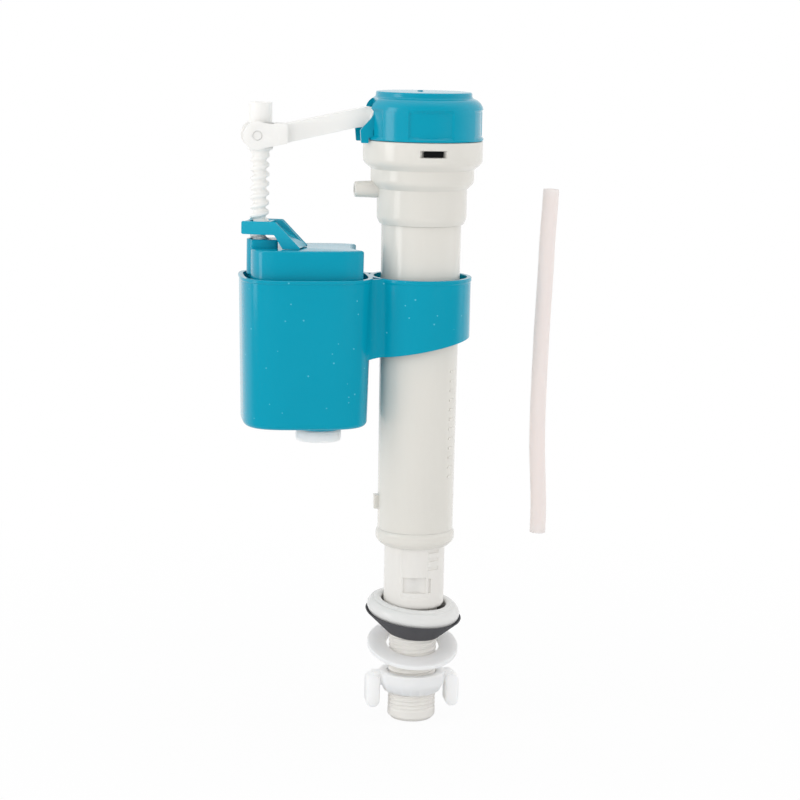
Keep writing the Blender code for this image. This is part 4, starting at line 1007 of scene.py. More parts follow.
@dataclass
class TankFastening:
    """Nut, washer, cone gasket and pressing ring, which clamp the tank's floor between them."""

    nut_radius: float = 14.5
    nut_foot: float = 12.4
    nut_bore: float = 10.88
    nut_low: float = -29.6
    nut_high: float = -20.6
    lug_centre: float = 17.6
    lug_width: float = 6.0
    lug_depth: float = 9.0
    lug_low: float = -36.6
    lug_height: float = 14.6
    nut_columns: int = 192
    rib_count: int = 20
    rib_depth: float = 0.35
    washer_radius: float = 20.0
    washer_bore: float = 11.68
    washer_middle: float = -9.0
    washer_thickness: float = 1.8
    washer_lean: Span = (-0.02, 0.287)
    cone_low: float = -3.4
    cone_high: float = 5.6
    cone_foot: float = 11.9
    cone_lip: float = 21.15
    cone_bore: float = 10.88
    cone_wall: float = 1.6
    cone_lean: Span = (-0.085, 0.10)
    columns: int = 128
    ring_bore: float = 14.1
    ring_radius: float = 20.4
    ring_low: float = 4.3
    ring_high: float = 11.8

    def nut(self) -> Object:
        """The nut: a turned collar that narrows below, ribs on its waist and two pill-shaped lugs."""
        waist = (self.nut_low + self.nut_high) / 2
        profile = rounded([
            (self.nut_radius, self.nut_high), (self.nut_radius, waist), (self.nut_foot, self.nut_low),
            (self.nut_bore, self.nut_low), (self.nut_bore, self.nut_high),
        ], [0.6, 1.2, 0.6, 0.3, 0.3])
        profile = filled(profile, self.nut_low, waist, 0.6)

        def ribs(angle: Array, height: Array) -> Array:
            """Shallow hollows round the narrowing foot, deepest at its lower edge."""
            outside = np.repeat(profile[:, :1] > self.nut_bore + 0.9, height.shape[1], axis=1)
            fall = np.clip((waist - height) / (waist - self.nut_low), 0.0, 1.0)
            return -self.rib_depth * (0.5 + 0.5 * np.cos(self.rib_count * angle)) * fall * outside
        collar = turned(profile, self.nut_columns, ribs)
        nut = as_piece("lugged_nut", collar)
        half = self.lug_width / 2
        turn = np.linspace(0.0, math.pi, 17)
        for side in (-1, 1):
            centre = side * self.lug_centre
            bend = half * np.stack([np.cos(turn), np.sin(turn)], 1)
            over = bend + (centre, self.lug_low + self.lug_height - half)
            under = -bend + (centre, self.lug_low + half)
            pill = prism(np.concatenate([over, under]), -self.lug_depth / 2, self.lug_depth / 2, 0.9)
            inner, outer = sorted((side * (self.nut_foot - 0.4), centre))
            web = block((inner, -half, self.nut_high - self.lug_width), (outer, half, self.nut_high - 0.3))
            carve(nut, on_side(pill), web, join=True)
        soften(nut, 0.25)
        return nut

    def build(self) -> None:
        """Makes the four pieces."""
        place(self.nut(), "nut", MILKY, "wing_nut")

        half = self.washer_thickness / 2
        flat = turned(rounded([
            (self.washer_radius, self.washer_middle + half), (self.washer_radius, self.washer_middle - half),
            (self.washer_bore, self.washer_middle - half), (self.washer_bore, self.washer_middle + half),
        ], 0.45), self.columns)
        place(as_piece("flat_washer", leaning(flat, self.washer_lean)), "washer", MILKY, "clamp_washer")

        bowl = self.cone_low + 2.5
        lip = self.cone_lip
        cone = turned(rounded([
            (lip, self.cone_high), (lip - 0.3, self.cone_high - 0.6),
            (self.cone_foot + 0.5, self.cone_low + 0.7), (self.cone_foot - 0.2, self.cone_low),
            (self.cone_bore, self.cone_low), (self.cone_bore, bowl),
            (self.cone_foot + self.cone_wall, bowl + self.cone_wall), (lip - 0.6, self.cone_high),
        ], [0.15, 0.2, 0.5, 0.3, 0.3, 0.3, 0.5, 0.15]), self.columns)
        place(as_piece("rubber_cone", leaning(cone, self.cone_lean)), "root", BLACK_RUBBER, "cone_gasket")

        low, high = self.ring_low, self.ring_high
        ring = turned(rounded([
            (self.ring_bore, high - 0.9), (self.ring_bore + 0.9, high),
            (self.ring_bore + 2.6, high - 0.25), (self.ring_bore + 3.2, high - 0.95),
            (self.ring_bore + 4.4, high - 1.0), (self.ring_radius - 0.2, high - 2.7),
            (self.ring_radius + 0.1, low + 2.6), (self.ring_radius - 1.2, low + 0.2),
            (self.ring_bore + 2.0, low), (self.ring_bore, low + 1.6),
        ], [0.7, 0.7, 0.6, 0.5, 0.9, 1.4, 1.3, 0.9, 1.0, 1.0]), self.columns)
        # The ring's white is painted darker to stand in for shade.
        place(as_piece("pressing_ring", leaning(ring, self.cone_lean)), "root", RING_PAINTED_SHADE_WHITE, "gasket_ring")


@dataclass
class SlidingTube:
    """The outer tube with its small lug and rack of ticks, and the collar under it."""

    foot_radius: float = 16.5
    top_radius: float = 17.2
    bore: float = 15.1
    low: float = 44.05
    high: float = 183.0
    lug_low: float = 52.8
    lug_height: float = 6.0
    lug_proud: float = 2.0
    tick_turn: float = math.radians(52.0)
    tick_low: float = 68.0
    tick_count: int = 12
    tick_pitch: float = 4.2
    tick_size: tuple[float, float, float] = (3.4, 1.0, 0.2)
    tick_root: float = 0.7
    collar_radius: float = 17.25
    collar_low: float = 37.0
    collar_high: float = 44.0
    collar_slope: float = 1.1
    collar_chamfer: float = 2.4
    collar_bore: float = 13.5
    spigot_radius: float = 14.7
    spigot_high: float = 48.0

    def radius_at(self, height: float) -> float:
        """The outer radius, which grows evenly from the foot to the top."""
        share = (height - self.low) / (self.high - self.low)
        return self.foot_radius + (self.top_radius - self.foot_radius) * share

    def outer(self) -> Object:
        """The tapered tube with its lug and the raised ticks of its height scale."""
        wall = turned(rounded([
            (self.top_radius, self.high), (self.foot_radius, self.low),
            (self.bore, self.low), (self.bore, self.high),
        ], [0.35, 0.02, 0.08, 0.35]))
        tube_piece = as_piece("sliding_tube", wall)
        lug = block(
            (-self.foot_radius - self.lug_proud, -self.lug_proud, self.lug_low),
            (-self.foot_radius + 0.6, self.lug_proud, self.lug_low + self.lug_height),
        )
        width, height, proud = self.tick_size
        ticks = [
            block(
                (-width / 2, -self.radius_at(low) - proud, low),
                (width / 2, -self.radius_at(low) + self.tick_root, low + height), self.tick_turn,
            )
            for low in self.tick_low + np.arange(self.tick_count) * self.tick_pitch
        ]
        carve(tube_piece, lug.joined(*ticks), join=True)
        return tube_piece

    def build(self) -> None:
        """Makes the tube and collar, and dresses the water tube inside."""
        place(self.outer(), "column", COLUMN_WHITE, "outer_tube")
        collar = turned(rounded([
            (self.spigot_radius, self.spigot_high), (self.spigot_radius, self.collar_high),
            (self.foot_radius, self.collar_high), (self.collar_radius, self.collar_high - self.collar_slope),
            (self.collar_radius, self.collar_low + self.collar_chamfer),
            (self.collar_radius - self.collar_chamfer, self.collar_low), (self.collar_bore, self.collar_low),
            (self.collar_bore, self.spigot_high),
        ], [0.3, 0.1, 0.02, 0.8, 1.2, 0.8, 0.3, 0.3]))
        place(as_piece("foot_collar", collar), "collar", COLUMN_WHITE, "lock_collar")
        dress("supply_tube", COLUMN_WHITE)
        dress("supply_o_ring", BLACK_RUBBER)


# Head


@dataclass
class ValveHead:
    """The stepped head with its nozzle and window, and the valve parts under the cap."""

    columns: int = 192
    bottom: float = 177.5
    low_radius: float = 19.35
    low_top: float = 193.0
    mid_radius: float = 22.25
    mid_top: float = 201.2
    rim_radius: float = 25.7
    rim_top: float = 213.2
    neck_radius: float = 23.3
    neck_top: float = 215.5
    neck_bore: float = 21.5
    ledge: float = 208.0
    chamber: float = 19.5
    web: Span = (195.0, 198.0)
    web_bore: float = 6.8
    web_hole: float = 3.1
    web_circle: float = 12.0
    web_phase: float = 0.47
    waterway: float = 15.5
    seat: float = 183.3
    skirt_bore: float = 17.6
    step: float = 2.6
    nozzle_height: float = 192.0
    nozzle_reach: float = 29.3
    nozzle_radii: Span = (3.4, 3.9)
    nozzle_bore: float = 2.0
    window: Span = (8.8, 3.0)
    window_middle: Span = (1.0, 208.5)
    window_depth: float = 2.6
    window_flare: float = 2.9
    window_lip: float = 0.25

    def body(self) -> Shell:
        """The turned head, whose steps run into each other in soft hollows."""
        step = self.step
        return turned(rounded([
            (self.neck_radius, self.neck_top), (self.neck_radius, self.rim_top),
            (self.rim_radius, self.rim_top), (self.rim_radius, self.mid_top + step),
            (self.mid_radius + 0.2, self.mid_top),
            (self.mid_radius, self.mid_top - 0.3), (self.mid_radius, self.low_top + 0.9 * step),
            (self.low_radius + 0.5, self.low_top), (self.low_radius, self.low_top - 0.4),
            (self.low_radius, self.bottom + step), (self.skirt_bore + 0.5, self.bottom),
            (self.skirt_bore, self.bottom), (self.skirt_bore, self.seat), (self.waterway, self.seat),
            (self.waterway, self.web[0]), (self.web_bore, self.web[0]), (self.web_bore, self.web[1]),
            (self.chamber, self.web[1]), (self.chamber, self.ledge), (self.neck_bore, self.ledge),
            (self.neck_bore, self.neck_top),
        ], [0.3, 0.3, 0.5, 1.8, 0.5, 0.4, 1.5, 0.6, 0.4, 1.2, 0.2, 0.1] + [0.3] * 9), self.columns)

    def nozzle(self) -> Shell:
        """The refill nozzle: a tapering barrel with a rounded lip, along -X."""
        reach = np.array([13.0, self.nozzle_reach - 1.0, self.nozzle_reach - 0.3, self.nozzle_reach])
        tip, root = self.nozzle_radii
        radius = np.array([root, tip, tip - 0.15, tip - 0.7])
        path = np.stack([-reach, 0 * reach, 0 * reach + self.nozzle_height], axis=1)
        return tube(path, radius, 40)

    def window_cut(self) -> Shell:
        """The window's recess: a slot for the flap that widens to both sides towards the outside."""
        half, middle = self.window[0] / 2, self.window_middle[0]
        back, front = -self.rim_radius + self.window_depth, -self.rim_radius - PAST
        mouth = half + self.window_flare
        outline = np.array([
            (middle - half, back), (middle - half, back - self.window_lip), (middle - mouth, front),
            (middle + mouth, front), (middle + half, back - self.window_lip), (middle + half, back),
        ])
        low = self.window_middle[1] - self.window[1] / 2
        return prism(outline, low, low + self.window[1])

    def build(self) -> None:
        """Makes the head and dresses what it holds."""
        head = as_piece("stepped_head", self.body())
        carve(head, self.nozzle(), join=True)
        ends = (-self.nozzle_reach - PAST, 0.5 - self.waterway)
        bore = tube(np.array([(x, 0.0, self.nozzle_height) for x in ends]), self.nozzle_bore, 32)
        angles = math.tau * (np.arange(4) + self.web_phase) / 4
        holes = [
            disc(
                self.web_circle * math.cos(angle), self.web_hole, self.web[0] - PAST, self.web[1] + PAST, 32,
                y=self.web_circle * math.sin(angle),
            )
            for angle in angles
        ]
        carve(head, bore, holes[0].joined(*holes[1:]), self.window_cut())
        place(head, "column", COLUMN_WHITE, "valve_body")
        dress("vent_flap", FLAP_RUBBER)
        for node in ("diaphragm", "seat_disc", "cap_seal", "pilot_seal"):
            dress(node, BLACK_RUBBER)
        for node in ("diaphragm_plate", "lever_pin"):
            dress(node, ARM_WHITE)


@dataclass
class Cap:
    """The teal cap: scalloped wall, shoulder, raised disc, lever slot and the two pin cheeks."""

    radius: float = 25.75
    bottom: float = 213.4
    top: float = 233.7
    disc_radius: float = 20.5
    disc_base: float = 231.3
    shoulder: float = 5.8
    bore: float = 23.6
    step: float = 217.3
    cavity: float = 20.6
    ceiling: float = 227.5
    wall: float = 2.0
    flutes: int = 5
    flute_depth: float = 0.7
    flute_sag: float = 0.45
    flute_half: float = math.radians(21.5)
    flute_edge: float = math.radians(1.6)
    flute_middle: float = math.radians(-90.5)
    flute_ends: Span = (214.4, 226.6)
    flute_run: float = 1.0
    slot_half: float = 9.2
    sill: float = 214.6
    pivot: Span = (-19.5, 222.5)
    cheek: Span = (8.2, 10.0)
    cheek_reach: float = 2.55
    cheek_drop: float = 1.3
    slot_reach: float = 4.0
    columns: int = 450
    wall_step: float = 0.505
    pin_radius: float = 1.5
    gap: float = 0.3
    vent: tuple[float, float, float] = (-1.2, 3.0, 1.25)
    vent_proud: float = 0.45
    vent_hole: float = 0.5
    outer_count: int = 0

    def flute(self, angle: Array, height: Array) -> Array:
        """The wall's wide flutes, which end below the shoulder and above the foot.

        The change is -(d + s (1 - (u / h)^2)) a e. With u the angle from the nearest flute's middle
        and h its half width, a rises from 0 to 1 over the edge's width where |u| passes h. In the
        same way e rises over the run inside both ends. Inside the outer wall it is nought.
        """
        period = math.tau / self.flutes
        offset = np.abs(np.mod(angle - self.flute_middle + period / 2, period) - period / 2)
        across = np.clip((self.flute_half - offset) / self.flute_edge + 0.5, 0.0, 1.0)
        deep = self.flute_depth + self.flute_sag * np.clip(1.0 - (offset / self.flute_half) ** 2, 0.0, 1.0)
        low, high = self.flute_ends
        foot = np.clip((height - low) / self.flute_run, 0.0, 1.0)
        head = np.clip((high - height) / self.flute_run, 0.0, 1.0)
        return -deep * across * foot * head * self.outside(height)

    def outside(self, height: Array) -> Array:
        """1 for the profile's outer side, which comes first in it, and 0 for the rest."""
        mask = np.zeros_like(height)
        mask[: self.outer_count] = 1.0
        return mask

    def body(self) -> Shell:
        """The turned cap, closed above, with the flutes in its wall."""
        shoulder, disc_bore = self.shoulder, self.disc_radius - self.wall
        outer = rounded([
            (0.0, self.top), (self.disc_radius, self.top), (self.disc_radius + 0.15, self.disc_base),
            (self.radius - 2.6, self.disc_base - 0.9), (self.radius - 0.8, self.disc_base - 0.5 * shoulder),
            (self.radius, self.disc_base - shoulder), (self.radius, self.bottom), (self.bore, self.bottom),
        ], [0.0, 0.7, 0.9, 1.6, 1.6, 1.2, 0.4, 0.0], closed=False)
        outer = filled(outer, self.bottom, self.flute_ends[1], self.wall_step)[:-1]
        self.outer_count = len(outer) - 1
        inner = np.array([
            (self.bore, self.bottom), (self.bore, self.step), (self.cavity, self.step),
            (self.cavity, self.ceiling), (disc_bore, self.ceiling), (disc_bore, self.top - self.wall),
            (0.0, self.top - self.wall),
        ])
        return turned(np.concatenate([outer, inner]), self.columns, self.flute)

    def cheeks(self) -> Shell:
        """The two plates that hold the lever's pin, from the cap's wall out past its edge."""
        x, z = self.pivot
        tip, foot, sole = -self.radius - self.cheek_reach, -self.bore + 0.8, self.bottom - self.cheek_drop
        heel = -math.sqrt(self.radius ** 2 - self.cheek[0] ** 2) - self.gap
        outline = rounded([
            (tip + 0.5, sole), (heel, sole), (heel, self.bottom + 1.0),
            (foot, self.bottom + 1.0), (foot, self.step + self.gap),
            (x + 3.0, self.step + self.gap), (x + 3.6, z - 1.0), (x + 2.8, z + 2.0),
            (x, z + 3.1), (x - 2.8, z + 2.2), (x - 4.4, z - 0.2),
            (tip, self.bottom + 4.2),
        ], [0.4, 0.3, 0.1, 0.2, 0.2, 0.5, 1.0, 1.0, 1.5, 1.0, 0.6, 0.5])
        return plates(outline, *self.cheek)

    def build(self) -> None:
        """Turns the cap, cuts the slot, adds the cheeks and drills the pin and vent holes."""
        cap = as_piece("scalloped_cap", self.body())
        (x, z), outside, edge = self.pivot, -self.radius - self.wall, -self.disc_radius - self.gap
        roof, high = self.ceiling - self.gap / 3, self.disc_base + self.wall
        inside = x + self.slot_reach
        slot = np.array([
            (outside, self.sill), (inside, self.sill), (inside, roof),
            (edge, roof), (edge, high), (outside, high),
        ])
        carve(cap, on_side(prism(slot, -self.slot_half, self.slot_half)))
        carve(cap, self.cheeks(), join=True)
        vent_x, vent_y, vent_radius = self.vent
        nub = disc(vent_x, vent_radius, self.top - PAST, self.top + self.vent_proud, 32, 0.2, vent_y)
        carve(cap, nub, join=True)
        pin_hole = cross_pin(x, z, self.cheek[1] - self.gap, self.pin_radius + self.gap)
        carve(cap, pin_hole, disc(vent_x, self.vent_hole, self.top - 0.5, self.top + PAST, 16, y=vent_y))
        place(cap, "column", TEAL, "cap")


# Lever and rod


@dataclass
class FloatArm:
    """The lever with its fork, the block that swivels in it, the threaded rod and the knob."""

    pivot: Span = (-19.5, 222.5)
    hub_radius: float = 4.0
    hub_half: float = 7.8
    width: float = 8.0
    eye: Span = (-71.5, 214.6)
    eye_radius: float = 6.0
    fork: Span = (5.8, 8.0)
    fork_root: float = -59.0
    run: float = -64.2
    rise: float = 0.23
    fork_below: float = 4.4
    fork_above: float = 4.9
    fork_step: float = 0.1
    pilot_x: float = -11.5
    pilot_reach: float = 2.3
    pilot_low: float = 219.44
    pin_hole: float = 1.8
    eye_hole: float = 2.0
    trunnion: float = 1.88
    rod_x: float = -69.7
    block_radius: float = 5.0
    block: Span = (209.9, 219.3)
    neck: float = 2.7
    neck_end: float = 224.7
    flange_radius: float = 5.5
    flange: Span = (207.8, 209.6)
    rod_major: float = 4.05
    rod_minor: float = 2.7
    rod_pitch: float = 4.0
    rod_flat: float = 0.5
    rod_points: int = 18
    rod_columns: int = 56
    rod_end: float = 163.8
    knob_radius: float = 5.0
    knob: Span = (219.6, 228.4)
    knob_recess: float = 2.6
    knob_columns: int = 72

    def lever(self) -> Object:
        """The lever: a bar that widens to its fork, a hub on the pin and the pilot arm inside."""
        (px, pz), low, high = self.pivot, self.eye[1] - self.fork_below, self.eye[1] + self.fork_above
        run, root, step = self.run, self.fork_root, self.fork_step
        bar = rounded([
            (run + 1.6, low + self.rise * 1.6), (px - 8.8, low + self.rise * (px - 8.8 - run)),
            (px - 3.0, pz - 3.7), (px, pz - 3.0), (px + 3.0, self.pilot_low),
            (self.pilot_x + self.pilot_reach, self.pilot_low),
            (self.pilot_x + self.pilot_reach, self.pilot_low + 4.1), (px + 3.6, pz + 1.6),
            (px - 1.0, pz + self.hub_radius), (px - 2.8, pz + 4.3), (px - 4.8, high + 7.6),
            (root, high), (run, high),
        ], [0.3, 2.0, 1.0, 0.6, 1.0, 0.6, 0.6, 1.0, 1.0, 0.8, 2.0, 3.0, 0.3])
        piece = as_piece("float_arm", on_side(prism(bar, -self.width / 2, self.width / 2)))
        bridge = rounded([
            (run + 1.7, low + self.rise + 4 * step), (root + step, low + 1.4),
            (root + step, high - step), (run + step, high - step),
        ], 0.5)
        turn = np.linspace(math.radians(60), math.radians(300), 25)
        eye = self.eye_radius * np.stack([np.cos(turn), np.sin(turn)], 1) + self.eye
        rest = rounded([
            tuple(eye[-1]), (run, low), (root + 0.3, low + self.rise * 5.2), (root + 0.3, high),
            (run - 1.4, high), tuple(eye[0]),
        ], 0.8, closed=False)
        cheek = np.concatenate([eye, rest[1:-1]])
        inner, outer = self.fork
        carve(
            piece, cross_pin(px, pz, self.hub_half, self.hub_radius, 48), on_side(prism(bridge, -outer, outer)),
            plates(cheek, inner + step / 2, outer - step / 2), join=True,
        )
        wide = outer + PAST
        carve(piece, cross_pin(*self.eye, wide, self.eye_hole).joined(cross_pin(px, pz, wide, self.pin_hole)))
        soften(piece, 0.5, 3)
        return piece

    def rod(self) -> Shell:
        """The rod: neck, flange and a right-hand thread of coarse pitch down to its end."""
        profile = rounded([
            (0.0, self.neck_end), (self.neck, self.neck_end), (self.neck, self.flange[1]),
            (self.flange_radius, self.flange[1]), (self.flange_radius, self.flange[0] + 0.8),
            (self.rod_major, self.flange[0]), (self.rod_major, self.rod_end), (0.0, self.rod_end),
        ], [0.0, 0.3, 0.2, 0.3, 0.4, 0.2, 0.5, 0.0], closed=False)
        profile = filled(profile, self.rod_end, self.flange[0], self.rod_pitch / self.rod_points)
        depth = self.rod_major - self.rod_minor
        cut = thread(self.rod_pitch, depth, self.rod_end - self.rod_pitch, self.flange[0], self.rod_flat)
        return shifted(turned(profile, self.rod_columns, cut), self.rod_x)

    def build(self) -> None:
        """Makes the lever, block, rod and knob."""
        place(self.lever(), "arm", ARM_WHITE, "lever")

        low, high = self.block
        swivel = as_piece("rod_block", disc(self.rod_x, self.block_radius, low, high, edge=0.5))
        carve(swivel, cross_pin(*self.eye, self.fork[1] - 0.3, self.trunnion), join=True)
        carve(swivel, disc(self.rod_x, self.neck + 0.4, low - PAST, high + PAST, 48))
        place(swivel, "swivel", ARM_WHITE, "swivel_block")

        place(as_piece("coarse_screw", self.rod()), "rod", ARM_WHITE, "adjuster_rod")

        bore = self.neck + 0.3
        knob = turned(rounded([
            (self.knob_radius, self.knob[1]), (self.knob_radius, self.knob[0]), (bore, self.knob[0]),
            (bore, self.neck_end + 0.3), (self.knob_recess, self.neck_end + 0.3),
            (self.knob_recess, self.knob[1]),
        ], 0.3), self.knob_columns)
        place(as_piece("rod_knob", shifted(knob, self.rod_x)), "rod", ARM_WHITE, "adjuster_knob")


# Float and cup


def squared_oval(
    left: float, right: float, half_depth: float, power: float, scale: float = 1.0, scoop: float = 0.0,
    steps: int = 192,
) -> Array:
    """A squared oval between two ends, scooped out round the column's axis.

    A point is (c + s a |cos t|^(2/n), s b |sin t|^(2/n)) with the signs of cos and sin. Where it
    would come nearer to the axis than the scoop, its x becomes -sqrt(scoop^2 - y^2).

    Args:
        left: x of the left end.
        right: x of the right end.
        half_depth: half of its size along y.
        power: n, 2 for an ellipse and more for squarer corners.
        scale: s, a change of size about the middle.
        scoop: radius of the scoop, or nought for none.
        steps: number of points.

    Returns:
        The points, anticlockwise.
    """
    angle = np.linspace(0.0, math.tau, steps, endpoint=False) + math.pi / steps
    cosine, sine = np.cos(angle), np.sin(angle)
    x = (left + right) / 2 + (right - left) / 2 * scale * np.sign(cosine) * np.abs(cosine) ** (2 / power)
    y = half_depth * scale * np.sign(sine) * np.abs(sine) ** (2 / power)
    if scoop:
        reach = np.sqrt(np.maximum(scoop ** 2 - y ** 2, 0.0))
        x = np.where(np.abs(y) < scoop, np.minimum(x, -reach), x)
    return np.stack([x, y], axis=1)


@dataclass
class Float:
    """The float, open below, with its rod well and boss, and the clip that bites the thread."""

    left: float = -73.8
    right: float = -23.9
    half_depth: float = 18.4
    power: float = 4.2
    taper: float = 0.975
    scoop: float = 30.0
    bottom: float = 108.0
    top: float = 167.0
    wall: float = 1.4
    edge: float = 1.0
    rod_x: float = -69.7
    rod_hole: float = 4.35
    well_radius: float = 5.35
    well: Span = (155.6, 170.6)
    boss_left: float = 4.0
    boss_right: float = 7.6
    boss_half: float = 5.8
    band: Span = (173.2, 178.2)
    seat: float = 167.4
    clip_depth: float = 15.0
    clip_wall: float = 2.0
    clip_left: float = 5.8
    clip_shoulder: float = 8.6
    clip_foot: float = 19.4
    clip_turn: float = math.radians(-18.0)

    def ring(self, inset: float, scale: float) -> Array:
        """One level of the float's wall, moved inwards by the inset."""
        return squared_oval(
            self.left + inset, self.right - inset, self.half_depth - inset, self.power, scale,
            self.scoop + inset,
        )

    def body(self) -> Object:
        """The float's shell with a rounded top edge, its boss and the well for the rod's end."""
        t = np.linspace(0.0, math.pi / 2, 6)
        inset, drop = self.edge * (1 - np.cos(t)), self.edge * (1 - np.sin(t))
        rings = [self.ring(0.0, self.taper)] + [self.ring(float(step), 1.0) for step in inset]
        heights = [self.bottom] + (self.top - drop).tolist()
        piece = as_piece("float_shell", loft(rings, heights))
        hollow = loft(
            [self.ring(self.wall, self.taper), self.ring(self.wall, 1.0)],
            [self.bottom - PAST, self.top - self.wall],
        )
        carve(piece, hollow)
        low, high = self.well
        left, right, half = self.rod_x - self.boss_left, self.rod_x + self.boss_right, self.boss_half
        outline = rounded([(left, -half), (right, -half), (right, half), (left, half)], 1.2)
        boss = prism(outline, self.top - 0.6, high - 0.1, 0.4)
        carve(piece, disc(self.rod_x, self.well_radius, low, high, edge=0.3), boss, join=True)
        carve(piece, disc(self.rod_x, self.rod_hole, low + PAST, high + PAST))
        return piece

    def clip(self) -> Object:
        """The clip: a band over the rod and a channelled arm that slopes down to the float."""
        low, high = self.band
        shoulder, foot, wall = self.clip_shoulder, self.clip_foot, self.clip_wall
        outline = rounded([
            (-self.clip_left, low), (shoulder - 0.3, low), (foot - 7.4, self.seat), (foot, self.seat),
            (shoulder, high), (-self.clip_left, high),
        ], [0.5, 0.4, 0.2, 0.5, 0.5, 0.5])
        channel = np.array([
            (shoulder - 3.0, high + PAST), (shoulder - 3.0, low + wall), (shoulder, low + wall),
            (foot - wall, self.seat + wall), (foot + wall, self.seat + wall), (foot + wall, high + PAST),
        ])[::-1]
        put = Matrix.Translation((self.rod_x, 0.0, 0.0)) @ Matrix.Rotation(self.clip_turn, 4, "Z")
        half = self.clip_depth / 2
        piece = as_piece("float_catch", on_side(prism(outline[::-1], -half, half, 0.35)).moved(put))
        carve(
            piece, on_side(prism(channel, wall - half, half - wall)).moved(put),
            disc(self.rod_x, self.rod_hole, self.seat, high + PAST),
        )
        soften(piece, 0.15)
        return piece

    def build(self) -> None:
        """Makes the float and its clip."""
        place(self.body(), "float", TEAL, "float")
        # The clip's teal is painted lighter to stand in for light through its thin edges.
        place(self.clip(), "float", TEAL_CLIP_PAINTED_LIGHT, "float_clip")


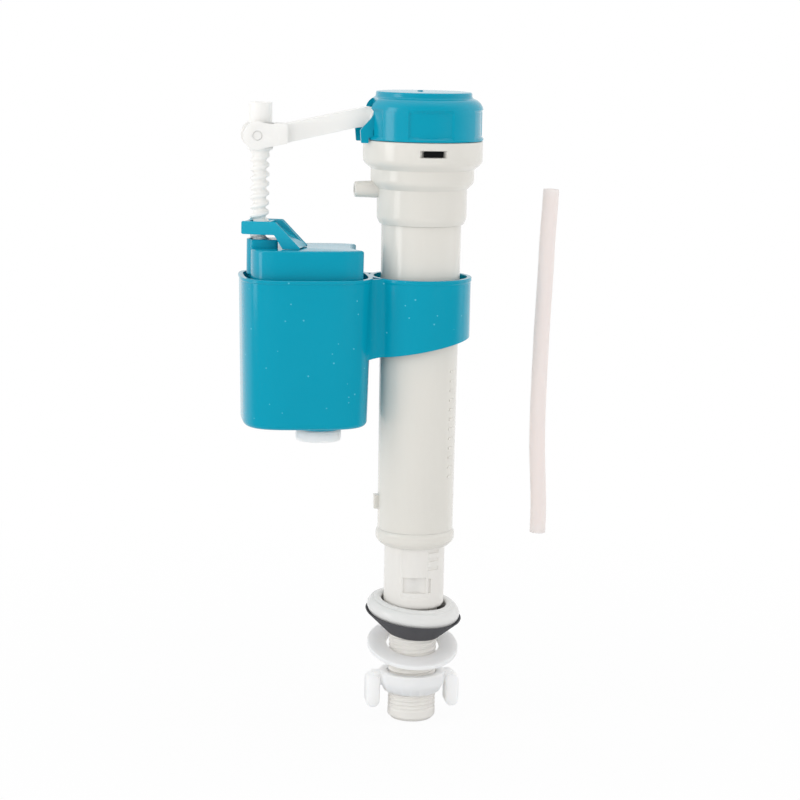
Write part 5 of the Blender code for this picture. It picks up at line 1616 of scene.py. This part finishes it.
@dataclass
class FloatCup:
    """The cup round the float, its hoop on the tube and the drain plug with its flap."""

    left: float = -77.9
    right: float = -21.6
    half_depth: float = 23.4
    power: float = 3.5
    taper: float = 0.955
    bottom: float = 91.0
    top: float = 155.0
    wall: float = 1.7
    edge: float = 2.4
    lip: float = 0.3
    lip_height: float = 1.6
    hoop_radius: float = 21.85
    hoop_low: Span = (120.3, 129.0)
    tube_radius: float = 17.5
    guide_width: float = 2.0
    guides: tuple[float, ...] = (40.0, 180.0, 320.0)
    web_start: Span = (-27.0, -18.4)
    web_bend: Span = (-21.0, -9.6)
    web_end: Span = (-15.2, -15.4)
    spigot_x: float = -43.2
    spigot_radius: float = 10.9
    spigot_low: float = 88.6
    plug_radii: tuple[float, float, float] = (9.85, 8.2, 5.0)
    plug_low: float = 83.3
    plug_flange: float = 88.3
    plug_top: float = 92.7
    plug_columns: int = 96

    def ring(self, inset: float, scale: float) -> Array:
        """One level of the cup's wall, moved inwards by the inset."""
        return squared_oval(self.left + inset, self.right - inset, self.half_depth - inset, self.power, scale)

    def tray(self) -> Shell:
        """The cup's outside: a rounded foot, walls that widen upwards and a slightly proud lip."""
        t = np.linspace(math.pi / 2, 0.0, 7)
        inset, rise = self.edge * (1 - np.cos(t)), self.edge * (1 - np.sin(t))
        rings = [self.ring(float(step), self.taper) for step in inset]
        heights = (self.bottom + rise).tolist()
        below = (self.top - self.lip_height - self.bottom) / (self.top - self.bottom)
        rings += [self.ring(0.0, self.taper + (1 - self.taper) * below), self.ring(-self.lip, 1.0)]
        rings += [self.ring(-self.lip, 1.0), self.ring(-self.lip + 0.25, 1.0)]
        heights += [
            self.top - self.lip_height, self.top - self.lip_height + 0.4, self.top - 0.25, self.top,
        ]
        return loft(rings, heights)

    def sloped(self, shell: Shell, lift: float = 0.0) -> Shell:
        """Makes a shell's underside slope up to the right, from the hoop's lowest point.

        Args:
            shell: changed in place.
            lift: how far the underside is raised besides.

        Returns:
            The same shell.
        """
        rise = (self.hoop_low[1] - self.hoop_low[0]) / (2 * self.hoop_radius)
        under = shell.points[:, 2] < self.hoop_low[0] + PAST
        shell.points[:, 2] += np.where(under, rise * (shell.points[:, 0] + self.hoop_radius) + lift, 0.0)
        return shell

    def hoop(self) -> Shell:
        """The hoop: a ring wall whose underside slopes up to the right, with the same lip."""
        inner, high = self.hoop_radius - self.wall, self.top - 0.1
        profile = rounded([
            (self.hoop_radius + self.lip, high), (self.hoop_radius + self.lip, high - self.lip_height),
            (self.hoop_radius, high - self.lip_height - 0.4), (self.hoop_radius, self.hoop_low[0]),
            (inner, self.hoop_low[0]), (inner, high),
        ], 0.2)
        return self.sloped(turned(profile))

    def web(self, side: int) -> Shell:
        """One web between cup and hoop: a wall along the curve (1-s)^2 A + 2s(1-s) B + s^2 C.

        B lies on the hoop's tangent at C, so the web runs smoothly into the hoop.
        """
        s = np.linspace(0.0, 1.0, 33)[:, None]
        start, bend, end = np.array(self.web_start), np.array(self.web_bend), np.array(self.web_end)
        line = (1 - s) ** 2 * start + 2 * s * (1 - s) * bend + s ** 2 * end
        back = line + np.array([0.0, self.wall])
        outline = np.concatenate([line, back[::-1]])
        if side > 0:
            outline = (outline * np.array([1.0, -1.0]))[::-1]
        return self.sloped(prism(outline, self.hoop_low[0], self.top - 0.3), 0.2)

    def body(self) -> Object:
        """Joins tray, hoop, guides, webs and spigot, then hollows the tray and the spigot."""
        cup = as_piece("float_tray", self.tray())
        inner = self.hoop_radius - self.wall
        guides = [
            block(
                (self.tube_radius, -self.guide_width / 2, self.hoop_low[1] + PAST),
                (inner + 0.6, self.guide_width / 2, self.top - PAST), math.radians(degrees),
            )
            for degrees in self.guides
        ]
        carve(cup, self.hoop(), guides[0].joined(*guides[1:]), self.web(-1), self.web(1), join=True)
        spigot = disc(self.spigot_x, self.spigot_radius, self.spigot_low, self.bottom + PAST, 96, 0.4)
        carve(cup, spigot, join=True)
        floor = self.bottom + self.wall
        hollow = loft([
            self.ring(self.wall + 1.1, self.taper), self.ring(self.wall + 0.3, self.taper),
            self.ring(self.wall, self.taper), self.ring(self.wall, 1.001),
        ], [floor, floor + 0.6, floor + 1.6, self.top + PAST])
        carve(cup, hollow, disc(self.spigot_x, self.plug_radii[1] + 0.3, self.spigot_low - PAST, floor + PAST))
        return cup

    def build(self) -> None:
        """Makes the cup and its plug, and dresses the flap."""
        place(self.body(), "cup", TEAL_SPECKS_AND_GLINTS, "float_cup")
        flange, stem, bore = self.plug_radii
        plug = turned(rounded([
            (stem, self.plug_top), (stem, self.plug_flange), (flange, self.plug_flange),
            (flange, self.plug_low), (bore, self.plug_low), (bore, self.plug_top),
        ], [0.2, 0.1, 0.5, 1.2, 0.5, 0.3]), self.plug_columns)
        place(as_piece("drain_plug", shifted(plug, self.spigot_x)), "cup", MILKY, "cup_plug")
        dress("cup_flap", BLACK_RUBBER)


def main() -> None:
    """Builds the stage and every sub-assembly in order."""
    logging.basicConfig(level=logging.INFO, format="%(name)s: %(message)s")
    Studio().build()
    for assembly in (
        RefillHose(), InletShank(), TankFastening(), SlidingTube(), ValveHead(), Cap(), FloatArm(), Float(),
        FloatCup(),
    ):
        assembly.build()
        log.info("built %s", type(assembly).__name__)


if __name__ == "__main__":
    main()
